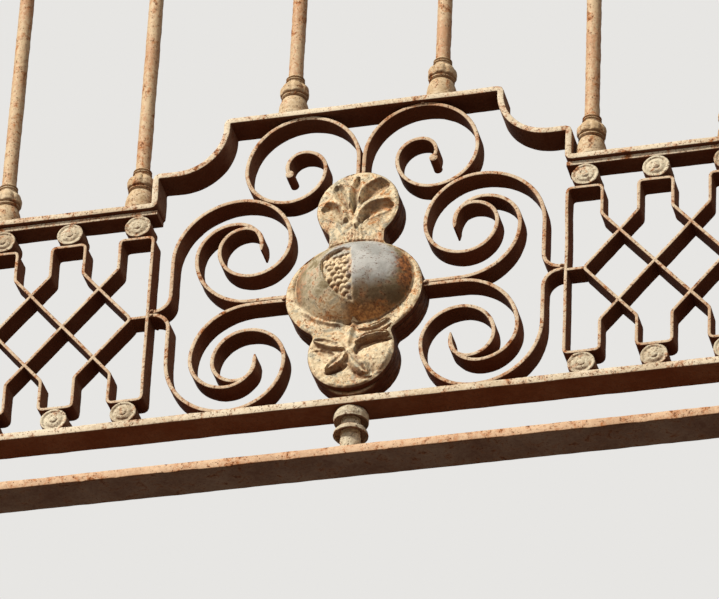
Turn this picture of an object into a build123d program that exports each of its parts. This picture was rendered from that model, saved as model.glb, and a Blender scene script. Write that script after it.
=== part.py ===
from build123d import *
import os

# A wrought iron balcony railing: one straight run of six lattice bays about a scrolled middle bay.
# X runs along the railing, the street side faces -Y, and Z is up.
# The origin is at the middle of the base bar's flat underside. All sizes are in millimetres.

# Rails and base
base_bar_thickness = 12
base_bar_depth = 50
foot_height = 62
bottom_rail_thickness = 10
rail_depth = 40
step_rail_thickness = 8
step_rail_depth = 38
overall_height = 1000
upper_bar_thickness = 8
handrail_depth = 54
handrail_height = 22
handrail_edge = 9

# Lattice panels of bent flat strip
lattice_pitch = 86
lattice_pitches = 6
flat_width = 42
flat_spacing = 237
knee_drop = 42
panel_start = 256
strip_thickness = 4
strip_depth = 28
strip_bend_radius = 6
lattice_bar_thickness = 7

# Cast rosettes: a lip, a raised ring and a boss on each face of a short drum
rosette_diameter = 30.5
rosette_length = 34
rosette_seat = 0.1
rosette_lip_width = 1.8
rosette_lip_setback = 1
rosette_ground_setback = 3.2
rosette_ring_radius = 9.2
rosette_ring_width = 6.4
rosette_ring_height = 2.2
rosette_boss_radius = 4.8

# Steps of the rail above the middle bay
riser_centre = 257
first_rise = 43
second_rise = 72
ramp_radius = 62
raised_half_width = 171

# Scrolls of the middle bay. The turns are the radii of quarter turns, counted from the eye outwards.
# The top scroll has one more quarter turn between its inner and outer ones, which bears on the upper scroll.
scroll_thickness = 5
scroll_depth = 28
scroll_mid_offset = 4
band_turn_radius = 21
band_turns = (22, 30, 41, 47, 66, 80)
medallion_turns = (35, 45, 71)
medallion_lead = 44
eye_length = 9
eye_width = 2
top_inner_turns = (28, 45)
top_outer_turns = (70, 70)
top_end_radius = 20
top_end_angle = 130
top_nub_diameter = 9
stem_gap = 2
scroll_seat = 0.1

# Cast pomegranate medallion, two castings back to back. Each leaf is (angle, reach from the leaves' root).
medallion_lift = 13
lower_disc_radius = 53
lower_disc_overlap = 38
fruit_half_width = 84
fruit_half_height = 72
crown_radius = 51
neck_half_width = 34
medallion_fillet = 8
casting_depth = 18
rim_plate = 5
rim_groove = 3
dome_margin = 12
dome_bulge = 32
dome_lift = 11
crown_leaf_root = 31
crown_leaves = ((90, 66), (56, 66), (124, 66), (28, 52), (152, 52))
disc_leaves = ((28, 40), (-38, 34), (152, 34), (218, 40))
leaf_half_width = 8
leaf_axis_lift = 1
leaf_gap = 9
stem_ridge_radius = 4
stem_ridge_length = 44

# Opening in the fruit, left of its middle, with the seeds showing
wedge_top_left = (-36, 20)
wedge_top_right = (0, 37)
wedge_tip = (5, -42)
wedge_top_sag = 8
wedge_right_sag = 3
wedge_left_sag = 11
wedge_depth = 5
seed_radius = 4
seed_pitch = 9

# Cast feet, from the base bar up: a stem and two hollow bells with a ring between them. Each step is
# (outer end's radius, height, how far its side swells). The undersides of the bells step down.
foot_spacing = 560
foot_base_radius = 19
foot_top_radius = 16.5
foot_top_swell = 2
foot_steps = (
    (12, 12, -2.5),
    (12, 21, 0),
    (20, -5, -1.5),
    (21, 1.5, 0),
    (12.5, 8.5, 2),
    (14, 1.5, 0),
    (12, 1.5, 0),
    (12, 9, 0),
    (20, -4, -1.5),
    (21, 1.5, 0),
)

# Round balusters and their cast collars, with the collar's steps given from the rail up
baluster_diameter = 18
middle_spacing = 186
collar_base_radius = 19
collar_plinth_height = 5
collar_steps = (
    (14, 24, 1.5),
    (15.5, 1.5, 0),
    (15.5, 2, 0),
    (14, 1.5, 0),
    (12, 17, 5.5),
    (11, 5, 0),
    (12, 1.5, 0),
    (11, 1.5, 0),
    (11, 2.5, 0),
    (12, 1.5, 0),
    (11, 1.5, 0),
    (11, 1.5, 0),
)
collar_fit = 0.15
collar_gap = 1

# End posts
post_width = 30

# Levels
base_top = base_bar_thickness
rail_underside = base_top + foot_height
frieze_floor = rail_underside + bottom_rail_thickness
rosette_space = rosette_diameter + 2 * rosette_seat
frieze_ceiling = frieze_floor + flat_spacing + strip_thickness + 2 * rosette_space
lattice_mid = (frieze_floor + frieze_ceiling) / 2
step_low = frieze_ceiling + lattice_bar_thickness
step_middle = step_low + first_rise
step_raised = step_middle + second_rise
upper_bar_underside = overall_height - handrail_height - upper_bar_thickness
scroll_mid = lattice_mid + scroll_mid_offset

# Stations along the railing
first_flat = panel_start + flat_width / 2
last_flat = first_flat + lattice_pitches * lattice_pitch
panel_end = last_flat + flat_width / 2
first_baluster = riser_centre + step_rail_thickness / 2 + collar_base_radius + collar_gap
post_inner = panel_end + strip_thickness / 2
post_centre = post_inner + post_width / 2
half_length = post_inner + post_width

# Medallion levels
lower_disc_level = frieze_floor + medallion_lift + lower_disc_radius
fruit_level = lower_disc_level + lower_disc_radius + fruit_half_height - lower_disc_overlap
crown_level = fruit_level + fruit_half_height + crown_radius
medallion_top = crown_level + crown_radius


def facing(sketch):
    """Stand a drawing of points (x, z) up so that it faces the street."""
    return Plane.XZ * sketch


def plate(sketch, depth):
    """A drawing made solid, half its depth to each side of the railing's middle plane."""
    return extrude(facing(sketch), amount=depth / 2, both=True)


def flat_bar(start, end, depth, underside, thickness):
    """A straight flat bar along X."""
    outline = Pos((start + end) / 2, underside + thickness / 2) * Rectangle(end - start, thickness)
    return plate(outline, depth)


def turned(bore, radius, steps):
    """A turned casting. Each step gives its upper radius, its height and how far its side swells."""
    foot = (radius, 0)
    edges = [Line((bore, 0), foot)]
    for upper_radius, height, swell in steps:
        head = (upper_radius, foot[1] + height)
        edges.append(SagittaArc(foot, head, -swell) if swell else Line(foot, head))
        foot = head
    edges.append(Line(foot, (bore, foot[1])))
    edges.append(Line((bore, foot[1]), (bore, 0)))
    return revolve(Plane.XZ * make_face(edges), Axis.Z)


def bent_line(start, heading, bends):
    """The centre line of a bent bar. Each bend is (radius, degrees), a straight run (length, 0)."""
    here = Vector(*start)
    direction = Vector(1, 0).rotate(Axis.Z, heading)
    runs = []
    for size, turn in bends:
        run = JernArc(here, direction, size, turn) if turn else Line(here, here + direction * size)
        runs.append(run)
        here = run @ 1
        direction = run % 1
    return runs, here


def quarter_turns(radii):
    return [(radius, -90) for radius in radii]


def traced(runs, thickness):
    """Flat strip of one thickness along a list of lines."""
    return Sketch() + [trace(run, thickness) for run in runs]


def handed(outline):
    """A drawing of a right-hand piece, and its left-hand twin."""
    return {"right": outline, "left": outline.mirror(Plane.YZ)}


def foot():
    """A cast foot: a spread base, a stem, and two hollow bells of which the upper one meets the rail."""
    top_height = foot_height - sum(height for _, height, _ in foot_steps)
    return turned(0, foot_base_radius, foot_steps + ((foot_top_radius, top_height, foot_top_swell),))


def step_rail():
    """One bent bar: low along the lattice, then up a riser, a ramp and a corner to the middle."""
    half = step_rail_thickness / 2
    low = step_low + half
    middle = step_middle + half
    raised = step_raised + half
    ramp_start = raised_half_width + ramp_radius
    outline = traced([
        Line((post_inner, low), (riser_centre, low)),
        Line((riser_centre, low), (riser_centre, middle)),
        Line((riser_centre, middle), (ramp_start, middle)),
        CenterArc((ramp_start, middle + ramp_radius), ramp_radius, 270, -90),
        Line((raised_half_width, middle + ramp_radius), (raised_half_width, raised)),
        Line((raised_half_width, raised), (0, raised)),
    ], step_rail_thickness)
    for x, z in ((riser_centre, low), (riser_centre, middle), (raised_half_width, raised)):
        outline += Pos(x, z) * Rectangle(step_rail_thickness, step_rail_thickness)
    outline += outline.mirror(Plane.YZ)
    return plate(outline, step_rail_depth)


def lattice():
    """The right-hand lattice: strips run flat, knee, diagonal, knee, flat, and cross each other."""
    half_flat = flat_width / 2
    top = lattice_mid + flat_spacing / 2
    bottom = lattice_mid - flat_spacing / 2
    top_knee = top - knee_drop
    bottom_knee = bottom + knee_drop
    strips = []
    for x in flat_stations():
        strips += [Line((x - half_flat, level), (x + half_flat, level)) for level in (top, bottom)]
    runs = []
    for near, far in zip(flat_stations(), flat_stations()[2:]):
        leave = near + half_flat
        arrive = far - half_flat
        runs.append([(near, top), (leave, top), (leave, top_knee),
                     (arrive, bottom_knee), (arrive, bottom), (far, bottom)])
        runs.append([(near, bottom), (leave, bottom), (leave, bottom_knee),
                     (arrive, top_knee), (arrive, top), (far, top)])
    for edge, inner, side in ((first_flat, first_flat + lattice_pitch, -1),
                              (last_flat, last_flat - lattice_pitch, 1)):
        turn_in = inner + side * half_flat
        band = edge + side * half_flat
        runs.append([(inner, top), (turn_in, top), (turn_in, top_knee), (edge, lattice_mid),
                     (turn_in, bottom_knee), (turn_in, bottom), (inner, bottom)])
        runs.append([(edge, top), (band, top), (band, bottom), (edge, bottom)])
        strips.append(Line((edge, lattice_mid), (band, lattice_mid)))
    strips += [FilletPolyline(*points, radius=strip_bend_radius) for points in runs]
    return traced(strips, strip_thickness)


def flat_stations():
    """The middle of each flat of the right-hand lattice."""
    return [first_flat + count * lattice_pitch for count in range(lattice_pitches + 1)]


def rosette():
    """A short cast drum with a lip, a raised ring and a boss on both faces."""
    radius = rosette_diameter / 2
    half = rosette_length / 2
    lip = (radius - rosette_lip_width, half - rosette_lip_setback)
    ground = half - rosette_ground_setback
    ring_outer = (rosette_ring_radius + rosette_ring_width / 2, ground)
    ring_inner = (rosette_ring_radius - rosette_ring_width / 2, ground)
    profile = make_face([
        Polyline((0, 0), (radius, 0), (radius, lip[1]), lip, (lip[0], ground), ring_outer),
        SagittaArc(ring_outer, ring_inner, rosette_ring_height),
        Line(ring_inner, (rosette_boss_radius, ground)),
        TangentArc((0, half), (rosette_boss_radius, ground), tangent=(1, 0)),
        Line((0, half), (0, 0)),
    ])
    front = revolve(Plane.XZ * profile, Axis.Z)
    return Rot(90, 0, 0) * (front + front.mirror(Plane.XY))


def coil_end(turns):
    """Where a coil of quarter turns ends, as seen from its eye."""
    _, end = bent_line((0, 0), 90, quarter_turns(turns))
    return end


def upper_scroll_eye():
    """Where the two bars of the upper scroll meet, found from the bar that bears on the medallion."""
    bar_level = scroll_mid + scroll_thickness / 2
    bar_start = fruit_half_width + scroll_seat + medallion_lead
    return Vector(bar_start, bar_level) - coil_end(medallion_turns)


def upper_scroll_shoulder():
    """The centre of the upper scroll's highest turn, whose outer edge is as high as the rail is low."""
    top = 2 * scroll_mid - frieze_floor - scroll_thickness / 2
    shoulder_x = upper_scroll_eye().X + coil_end(band_turns[:-1]).X
    return Vector(shoulder_x, top - band_turns[-2])


def double_scroll():
    """The right-hand upper scroll: two bars coil the same way and are welded at one pointed eye."""
    half = scroll_thickness / 2
    eye = upper_scroll_eye()
    medallion_bar, _ = bent_line(eye, 90, quarter_turns(medallion_turns) + [(medallion_lead, 0)])

    coil_start = upper_scroll_shoulder() + (0, band_turns[-2]) - coil_end(band_turns[:-1])
    coil_finish = coil_start + coil_end(band_turns)
    drop = coil_finish.Y - band_turn_radius - (scroll_mid + half)
    reach = panel_start - strip_thickness / 2 - coil_finish.X - band_turn_radius
    band_bar, _ = bent_line(
        coil_start, 90,
        quarter_turns(band_turns) + [(drop, 0), (band_turn_radius, 90), (reach, 0)],
    )
    point = Polyline(
        (eye.X - half, eye.Y), (eye.X + half, eye.Y), (eye.X + eye_width / 2, eye.Y - eye_length),
        (eye.X - eye_width / 2, eye.Y - eye_length), close=True,
    )
    return traced(medallion_bar + band_bar, scroll_thickness) + make_face(point)


def lower_scroll():
    return double_scroll().mirror(Plane(origin=(0, scroll_mid, 0), z_dir=(0, 1, 0)))


def bearing_turn(outer_end):
    """Radius of the top scroll's turn that begins at outer_end and bears on the upper scroll."""
    away = outer_end - upper_scroll_shoulder()
    reach = band_turns[-2] + scroll_thickness + scroll_seat
    return (away.X ** 2 + away.Y ** 2 - reach ** 2) / (2 * (reach + away.X))


def top_scroll():
    """The right-hand top scroll: a stem on the medallion, a bend under the rail and a long coil."""
    half = scroll_thickness / 2
    foot_level = medallion_top + scroll_seat
    start = (stem_gap / 2 + half, foot_level)
    stem = step_raised - half - top_outer_turns[-1] - foot_level
    outer = [(stem, 0)] + quarter_turns(top_outer_turns[::-1])
    _, outer_end = bent_line(start, 90, outer)
    inner = quarter_turns((bearing_turn(outer_end),) + top_inner_turns[::-1])
    runs, end = bent_line(start, 90, outer + inner + [(top_end_radius, -top_end_angle)])
    return traced(runs, scroll_thickness) + Pos(end.X, end.Y) * Circle(top_nub_diameter / 2)


def medallion_outline(inset=0):
    """Crown, neck, fruit and lower disc, with the corners between them filled round."""
    levels = (lower_disc_level, fruit_level, crown_level)
    neck_width = 2 * (neck_half_width - inset)
    neck = Rectangle(neck_width, crown_level - fruit_level, align=(Align.CENTER, Align.MIN))
    outline = Pos(0, lower_disc_level) * Circle(lower_disc_radius - inset)
    outline += Pos(0, fruit_level) * Ellipse(fruit_half_width - inset, fruit_half_height - inset)
    outline += Pos(0, crown_level) * Circle(crown_radius - inset)
    outline += Pos(0, fruit_level) * neck
    corners = [v for v in outline.vertices() if min(abs(v.Y - level) for level in levels) > 1]
    return fillet(corners, medallion_fillet + inset)


def medallion_casting():
    """The street half: a rim plate, a shadow groove behind it, a body, leaf hollows and the domed fruit."""
    outline = facing(medallion_outline())
    groove_outline = facing(medallion_outline(rim_groove))
    body_depth = casting_depth - rim_plate - rim_groove
    body = extrude(outline, amount=body_depth)
    body += Pos(0, -body_depth, 0) * extrude(groove_outline, amount=rim_groove)
    body += Pos(0, -body_depth - rim_groove, 0) * extrude(outline, amount=rim_plate)
    body -= leaf_hollows(crown_level - crown_leaf_root, crown_leaves)
    body -= leaf_hollows(lower_disc_level, disc_leaves)
    ridge_level = fruit_level - fruit_half_height
    body += Pos(0, -casting_depth, ridge_level) * Cylinder(stem_ridge_radius, stem_ridge_length)
    return body + Pos(0, -casting_depth, fruit_level + dome_lift) * opened_fruit()


def leaf_hollows(root_level, leaves):
    """Pointed leaf hollows that spread from a root just before the front, each half a spindle deep."""
    root = Pos(0, -casting_depth - leaf_axis_lift, root_level)
    hollows = []
    for angle, reach in leaves:
        half_leaf = make_face([
            SagittaArc((leaf_gap, 0), (reach, 0), leaf_half_width),
            Line((reach, 0), (leaf_gap, 0)),
        ])
        hollows.append(root * Rot(0, -angle, 0) * revolve(half_leaf, Axis.X))
    return hollows


def fruit_dome(inset=0):
    """The front of a fat barrel, wider than it is high, whose flat back is the XZ plane."""
    half_width = fruit_half_width - dome_margin - inset
    half_height = fruit_half_height - dome_margin - inset
    bulge = dome_bulge - inset
    axis_distance = (half_width ** 2 - bulge ** 2) / (2 * bulge)
    far_side = 2 * axis_distance
    segment = make_face([
        Line((far_side, -half_height), (far_side, half_height)),
        ThreePointArc((far_side, half_height), (far_side + bulge, 0), (far_side, -half_height)),
    ])
    barrel = revolve(Plane.YZ * segment, Axis((0, axis_distance, 0), (0, 0, 1)))
    return split(barrel, bisect_by=Plane.XZ, keep=Keep.TOP)


def wedge_outline():
    """The opening in the fruit: three bowed sides that meet in a point below."""
    return make_face([
        SagittaArc(wedge_top_left, wedge_top_right, wedge_top_sag),
        SagittaArc(wedge_top_right, wedge_tip, wedge_right_sag),
        SagittaArc(wedge_tip, wedge_top_left, wedge_left_sag),
    ])


def seed_places():
    """A close pattern of seeds across the opening, clear of its sides."""
    room = offset(wedge_outline(), -seed_radius)
    reach = round(2 * fruit_half_height / seed_pitch)
    pattern = HexLocations(seed_pitch / 2, reach, reach, major_radius=False)
    return [place.position for place in pattern if room.is_inside(place.position)]


def opened_fruit():
    """The fruit with a wedge cut out of its skin, and the seeds that stand on the flesh inside."""
    flesh = fruit_dome(wedge_depth)
    seed = Rot(90, 0, 0) * Sphere(seed_radius)
    seeds = []
    for place in seed_places():
        across = Axis((place.X, 0, place.Y), (0, 1, 0))
        front = min(point.Y for point, _ in flesh.find_intersection_points(across))
        seeds.append(Pos(place.X, front, place.Y) * seed)
    wedge = extrude(facing(wedge_outline()), amount=dome_bulge)
    return fruit_dome() - wedge + flesh + seeds


def handrail():
    """A handrail with a flat underside, upright edges and a crowned top."""
    half = handrail_depth / 2
    outline = make_face([
        Line((-half, 0), (half, 0)),
        Line((half, 0), (half, handrail_edge)),
        ThreePointArc((half, handrail_edge), (0, handrail_height), (-half, handrail_edge)),
        Line((-half, handrail_edge), (-half, 0)),
    ])
    rail = extrude(Plane.YZ * outline, amount=half_length, both=True)
    return Pos(0, 0, overall_height - handrail_height) * rail


def end_post():
    height = upper_bar_underside - base_top
    return Box(post_width, post_width, height, align=(Align.CENTER, Align.CENTER, Align.MIN))


def baluster_stations():
    """Each baluster's place and the top of the rail under it. The posts end the rows."""
    raised = step_raised + step_rail_thickness
    low = step_low + step_rail_thickness
    right = [(middle_spacing / 2, raised)]
    right += [(first_baluster + count * 2 * lattice_pitch, low) for count in range(lattice_pitches // 2)]
    return [(-x, level) for x, level in reversed(right)] + right


def collar():
    """A cast collar: plinth, bell, double ring, bulb, neck and two beads, from the rail up."""
    bore = baluster_diameter / 2 + collar_fit
    plinth = (collar_base_radius, collar_plinth_height, 0)
    return turned(bore, collar_base_radius, (plinth,) + collar_steps)


def build_parts():
    """Every piece by its node's name."""
    parts = {}
    parts["base_bar"] = flat_bar(-half_length, half_length, base_bar_depth, 0, base_bar_thickness)
    parts["bottom_rail"] = flat_bar(
        -post_inner, post_inner, rail_depth, rail_underside, bottom_rail_thickness,
    )
    for name, x in (("left", -foot_spacing), ("centre", 0), ("right", foot_spacing)):
        parts[f"foot_{name}"] = Pos(x, 0, base_top) * foot()
    parts["step_rail"] = step_rail()

    for side, outline in handed(lattice()).items():
        parts[f"lattice_{side}"] = plate(outline, strip_depth)
    for side, outline in handed(double_scroll()).items():
        parts[f"upper_scroll_{side}"] = plate(outline, scroll_depth)
    for side, outline in handed(lower_scroll()).items():
        parts[f"lower_scroll_{side}"] = plate(outline, scroll_depth)
    for side, outline in handed(top_scroll()).items():
        parts[f"top_scroll_{side}"] = plate(outline, scroll_depth)

    rosette_offset = (flat_spacing + strip_thickness + rosette_space) / 2
    levels = {"upper": lattice_mid + rosette_offset, "lower": lattice_mid - rosette_offset}
    for side, sign in (("left", -1), ("right", 1)):
        ends = sorted((sign * (panel_start - strip_thickness / 2), sign * post_inner))
        parts[f"lattice_top_bar_{side}"] = flat_bar(*ends, strip_depth, frieze_ceiling, lattice_bar_thickness)
        for height, level in levels.items():
            drums = [Pos(sign * x, 0, level) * rosette() for x in flat_stations()]
            parts[f"rosettes_{height}_{side}"] = Compound(drums)
        parts[f"end_post_{side}"] = Pos(sign * post_centre, 0, base_top) * end_post()

    front = medallion_casting()
    parts["medallion_front"] = front
    parts["medallion_back"] = front.mirror(Plane.XZ)

    for count, (x, level) in enumerate(baluster_stations(), start=1):
        length = upper_bar_underside - level
        middle = Pos(x, 0, level + length / 2)
        parts[f"baluster_{count:02}"] = middle * Cylinder(baluster_diameter / 2, length)
        top_collar = Pos(x, 0, upper_bar_underside) * Rot(180, 0, 0) * collar()
        parts[f"collars_{count:02}"] = Compound([Pos(x, 0, level) * collar(), top_collar])

    parts["upper_bar"] = flat_bar(
        -half_length, half_length, rail_depth, upper_bar_underside, upper_bar_thickness,
    )
    parts["handrail"] = handrail()
    return parts


os.makedirs("parts", exist_ok=True)
for node, solid in build_parts().items():
    export_step(solid, f"parts/{node}.step")
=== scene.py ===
import itertools
import math

import bmesh
import bpy
import numpy as np
from mathutils import Matrix, Vector, geometry


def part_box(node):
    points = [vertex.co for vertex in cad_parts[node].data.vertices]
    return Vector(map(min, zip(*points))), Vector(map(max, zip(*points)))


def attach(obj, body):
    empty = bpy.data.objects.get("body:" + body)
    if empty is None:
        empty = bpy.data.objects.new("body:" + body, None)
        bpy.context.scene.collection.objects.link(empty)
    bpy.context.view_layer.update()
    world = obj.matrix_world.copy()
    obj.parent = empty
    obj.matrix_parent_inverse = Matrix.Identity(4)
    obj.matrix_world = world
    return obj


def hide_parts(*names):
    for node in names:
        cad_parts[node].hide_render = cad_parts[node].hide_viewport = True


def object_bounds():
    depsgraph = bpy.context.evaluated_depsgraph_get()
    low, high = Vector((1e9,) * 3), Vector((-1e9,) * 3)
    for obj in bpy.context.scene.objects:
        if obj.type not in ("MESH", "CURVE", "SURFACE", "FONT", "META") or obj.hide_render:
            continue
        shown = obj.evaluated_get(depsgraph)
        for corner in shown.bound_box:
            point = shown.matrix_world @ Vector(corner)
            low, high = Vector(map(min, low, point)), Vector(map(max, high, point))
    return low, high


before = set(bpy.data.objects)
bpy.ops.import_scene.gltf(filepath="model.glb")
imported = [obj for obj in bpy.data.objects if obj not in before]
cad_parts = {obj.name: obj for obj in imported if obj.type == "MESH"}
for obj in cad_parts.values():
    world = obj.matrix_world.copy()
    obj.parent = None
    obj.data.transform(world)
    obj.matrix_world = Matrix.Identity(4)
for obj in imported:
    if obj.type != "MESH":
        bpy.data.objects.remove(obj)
cad_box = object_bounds()

# Everything is in metres, in the frame's own axes: X along the railing, -Y to the street, Z up.

SIDES = (("left", -1), ("right", 1))

# Sizes of the strips and bars that are not read from the frame's boxes
STRIP_THICKNESS = 0.004
STRIP_DEPTH = 0.028
STRIP_BEND_RADIUS = 0.006
SCROLL_THICKNESS = 0.005
SCROLL_DEPTH = 0.028
FLAT_WIDTH = 0.042
KNEE_DROP = 0.042
LATTICE_PITCHES = 6
STEP_RAIL_THICKNESS = 0.008
FIRST_RISE = 0.043
RISER_CENTRE = 0.257
RAMP_RADIUS = 0.062
RAISED_HALF_WIDTH = 0.171
STEP_CORNER_RADIUS = 0.0052
HANDRAIL_EDGE = 0.009
POST_CORNER = 0.002

# Quarter turns of the scrolls, from the eye outwards, and of the top scrolls, from the stem
BAND_TURNS = (0.022, 0.030, 0.041, 0.047, 0.066, 0.080)
MEDALLION_TURNS = (0.035, 0.045, 0.071)
TOP_OUTER_TURNS = (0.070, 0.070)
TOP_INNER_TURNS = (0.054, 0.045, 0.028)
TOP_END_RADIUS = 0.020
TOP_END_ANGLE = 122
BAND_TURN_RADIUS = 0.021
MEDALLION_LEAD = 0.044
EYE_LENGTH = 0.0075
SCROLL_MID_OFFSET = 0.004
STEM_OFFSET = 0.0035

# Medallion
CASTING_DEPTH = 0.018
LOWER_DISC_RADIUS = 0.053
CROWN_RADIUS = 0.051
FRUIT_HALF_HEIGHT = 0.072
DOME_HALF_WIDTH = 0.072
DOME_HALF_HEIGHT = 0.060
DOME_BULGE = 0.0314
DOME_LIFT = 0.011
RELIEF_LIMIT = 0.0318

# Distances between the points of the meshes, and points round the turned pieces
BAR_SPACING = 0.003
LATTICE_SPACING = 0.0028
SECTION_SPACING = 0.005
PROFILE_SPACING = 0.0008
DRUM_WALL_SPACING = 0.002
ROD_SPACING = 0.0036
OUTLINE_SPACING = 0.0013
RELIEF_STEP = 0.0011
ROW_SHARE = 0.866
POST_LEVELS = 160
CASTING_AROUND = 72
ROSETTE_AROUND = 48
ROD_AROUND = 30
NUB_AROUND = 20

SHARP_ANGLE = 50
RIDGE_SCALE = 3.2


# Numbers

def smoothstep(low, high, value):
    t = np.clip((value - low) / (high - low), 0, 1)
    return t * t * (3 - 2 * t)


def bell(distance, width):
    """1 at no distance, falling off to both sides."""
    return np.exp(-(distance / width) ** 2)


def lumps(points, size, seed):
    """Smooth random values from -1 to 1, with lumps of about the given size."""
    scaled = np.asarray(points, float) / size + 31.7 * seed
    cell = np.floor(scaled).astype(np.int64)
    part = scaled - cell
    ease = part * part * (3 - 2 * part)
    total = np.zeros(len(scaled))
    for corner in itertools.product((0, 1), repeat=3):
        at = cell + corner
        key = (at[:, 0] * 73856093) ^ (at[:, 1] * 19349663) ^ (at[:, 2] * 83492791)
        key = key ^ (seed * 2654435)
        key = ((key ^ (key >> 13)) * 1274126177) & 0x7FFFFFFF
        total += (key / 0x3FFFFFFF - 1) * np.prod(np.where(corner, ease, 1 - ease), axis=1)
    return total


def signed_distance(points, outline):
    """Distance of 2D points from a closed outline, below 0 inside it."""
    a = outline
    b = np.roll(outline, -1, axis=0)
    along = b - a
    length_squared = np.maximum((along ** 2).sum(1), 1e-16)
    rise = np.where(np.abs(along[:, 1]) < 1e-12, 1e-12, along[:, 1])
    found = np.empty(len(points))
    for first in range(0, len(points), 4000):
        p = points[first:first + 4000, None, :]
        t = np.clip(((p - a) * along).sum(2) / length_squared, 0, 1)
        gap = np.sqrt((((a + t[:, :, None] * along) - p) ** 2).sum(2)).min(1)
        spans = (a[:, 1] > p[:, :, 1]) != (b[:, 1] > p[:, :, 1])
        crossing = a[:, 0] + (p[:, :, 1] - a[:, 1]) / rise * along[:, 0]
        inside = ((spans & (p[:, :, 0] < crossing)).sum(1) % 2) == 1
        found[first:first + 4000] = np.where(inside, -gap, gap)
    return found


def evenly_spaced(points, spacing, closed=False):
    """The same line as points, with new points an even distance apart."""
    line = np.vstack([points, points[:1]]) if closed else np.asarray(points)
    steps = np.linalg.norm(np.diff(line, axis=0), axis=1)
    line = line[np.concatenate([[True], steps > 1e-9])]
    reached = np.concatenate([[0], np.cumsum(steps[steps > 1e-9])])
    places = np.linspace(0, reached[-1], max(2, round(reached[-1] / spacing)) + 1)
    if closed:
        places = places[:-1]
    return np.stack([np.interp(places, reached, line[:, k]) for k in range(line.shape[1])], 1)


# Lines in the XZ plane

def bent_path(start, heading, bends):
    """Points along a bent bar. Each bend is (radius, degrees), a straight run (length, 0)."""
    here = np.array(start, float)
    angle = math.radians(heading)
    points = [here]
    for size, turn in bends:
        if turn == 0:
            here = here + size * np.array([math.cos(angle), math.sin(angle)])
            points.append(here)
            continue
        side = math.copysign(1, turn)
        centre = here + side * size * np.array([-math.sin(angle), math.cos(angle)])
        steps = max(4, round(abs(turn) / 6))
        for step in range(1, steps + 1):
            a = angle + math.radians(turn) * step / steps
            here = centre + side * size * np.array([math.sin(a), -math.cos(a)])
            points.append(here)
        angle += math.radians(turn)
    return np.array(points)


def quarter_turns(radii):
    return [(radius, -90) for radius in radii]


def filleted(points, radius, closed=False):
    """A line through corners, with each corner rounded."""
    corners = np.array(points, float)
    count = len(corners)
    line = []
    for k, here in enumerate(corners):
        if not closed and k in (0, count - 1):
            line.append(here)
            continue
        back = corners[k - 1] - here
        ahead = corners[(k + 1) % count] - here
        back_length = np.linalg.norm(back)
        ahead_length = np.linalg.norm(ahead)
        back = back / back_length
        ahead = ahead / ahead_length
        turn = math.pi - math.acos(np.clip(back @ ahead, -1, 1))
        reach = min(radius * math.tan(turn / 2), 0.48 * back_length, 0.48 * ahead_length)
        first = here + back * reach
        last = here + ahead * reach
        for t in np.linspace(0, 1, 7):
            line.append((1 - t) ** 2 * first + 2 * t * (1 - t) * here + t ** 2 * last)
    return np.array(line)


# Meshes

def tube_faces(rings, around, first=0, closed=False):
    """Quads between rings of points, and a face on each end of an open tube."""
    ring = np.arange(rings if closed else rings - 1)[:, None] * around
    place = np.arange(around)[None, :]
    a = ring + place
    b = ring + (place + 1) % around
    total = rings * around
    quads = np.stack([a, b, (b + around) % total, (a + around) % total], -1).reshape(-1, 4)
    faces = (quads + first).tolist()
    if not closed:
        faces.append(list(range(first + around - 1, first - 1, -1)))
        faces.append(list(range(first + total - around, first + total)))
    return faces


class Shell:
    """Vertices and faces gathered for one piece."""

    def __init__(self):
        self.verts = []
        self.faces = []
        self.count = 0

    def add(self, verts, faces):
        self.verts.append(verts)
        self.faces += faces
        self.count += len(verts)

    def add_rings(self, rings, closed=False):
        """A tube through rings of points, given as an array of rings, points and coordinates."""
        faces = tube_faces(*rings.shape[:2], self.count, closed)
        self.add(rings.reshape(-1, 3), faces)


def rounded_section(thickness, depth, corner):
    """Points round a bar's section, as (across, y)."""
    half_t = thickness / 2 - corner
    half_d = depth / 2 - corner
    ring = []
    for count, (x, y) in enumerate(((1, 1), (-1, 1), (-1, -1), (1, -1))):
        for turn in (0, 45, 90):
            a = math.radians(90 * count + turn)
            ring.append((x * half_t + corner * math.cos(a), y * half_d + corner * math.sin(a)))
    ring = np.array(ring)
    full = []
    for a, b in zip(ring, np.roll(ring, -1, axis=0)):
        pieces = max(1, round(np.linalg.norm(b - a) / SECTION_SPACING))
        full += [a + (b - a) * t / pieces for t in range(pieces)]
    return np.array(full)


def add_strip(shell, path, thickness, depth, closed=False, corner=0.0009, spacing=BAR_SPACING,
              wobble=0.0004, widths=None, seed=1):
    """A slightly uneven bar swept along a line in the XZ plane. widths gives (distance share,
    factor) pairs."""
    line = evenly_spaced(path, spacing, closed)
    if closed:
        tangent = np.roll(line, -1, axis=0) - np.roll(line, 1, axis=0)
    else:
        tangent = np.gradient(line, axis=0)
    tangent /= np.linalg.norm(tangent, axis=1)[:, None]
    across = np.stack([-tangent[:, 1], tangent[:, 0]], 1)
    spots = np.insert(line, 1, 0, axis=1)
    sway = wobble * lumps(spots, 0.055, seed)
    if not closed:
        ends = np.minimum(np.arange(len(line)), np.arange(len(line))[::-1])
        sway *= smoothstep(0, 8, ends)
    line = line + across * sway[:, None]
    section = rounded_section(thickness, depth, corner)
    scale = 1 + 0.05 * lumps(spots, 0.018, seed + 3)
    if widths is not None:
        share = np.linspace(0, 1, len(line))
        scale = scale * np.interp(share, *zip(*widths))
    deep = 1 + 0.012 * lumps(spots, 0.03, seed + 5)
    out = section[None, :, 0] * scale[:, None]
    shell.add_rings(np.stack([line[:, None, 0] + across[:, None, 0] * out,
                              section[None, :, 1] * deep[:, None],
                              line[:, None, 1] + across[:, None, 1] * out], -1), closed)


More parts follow.
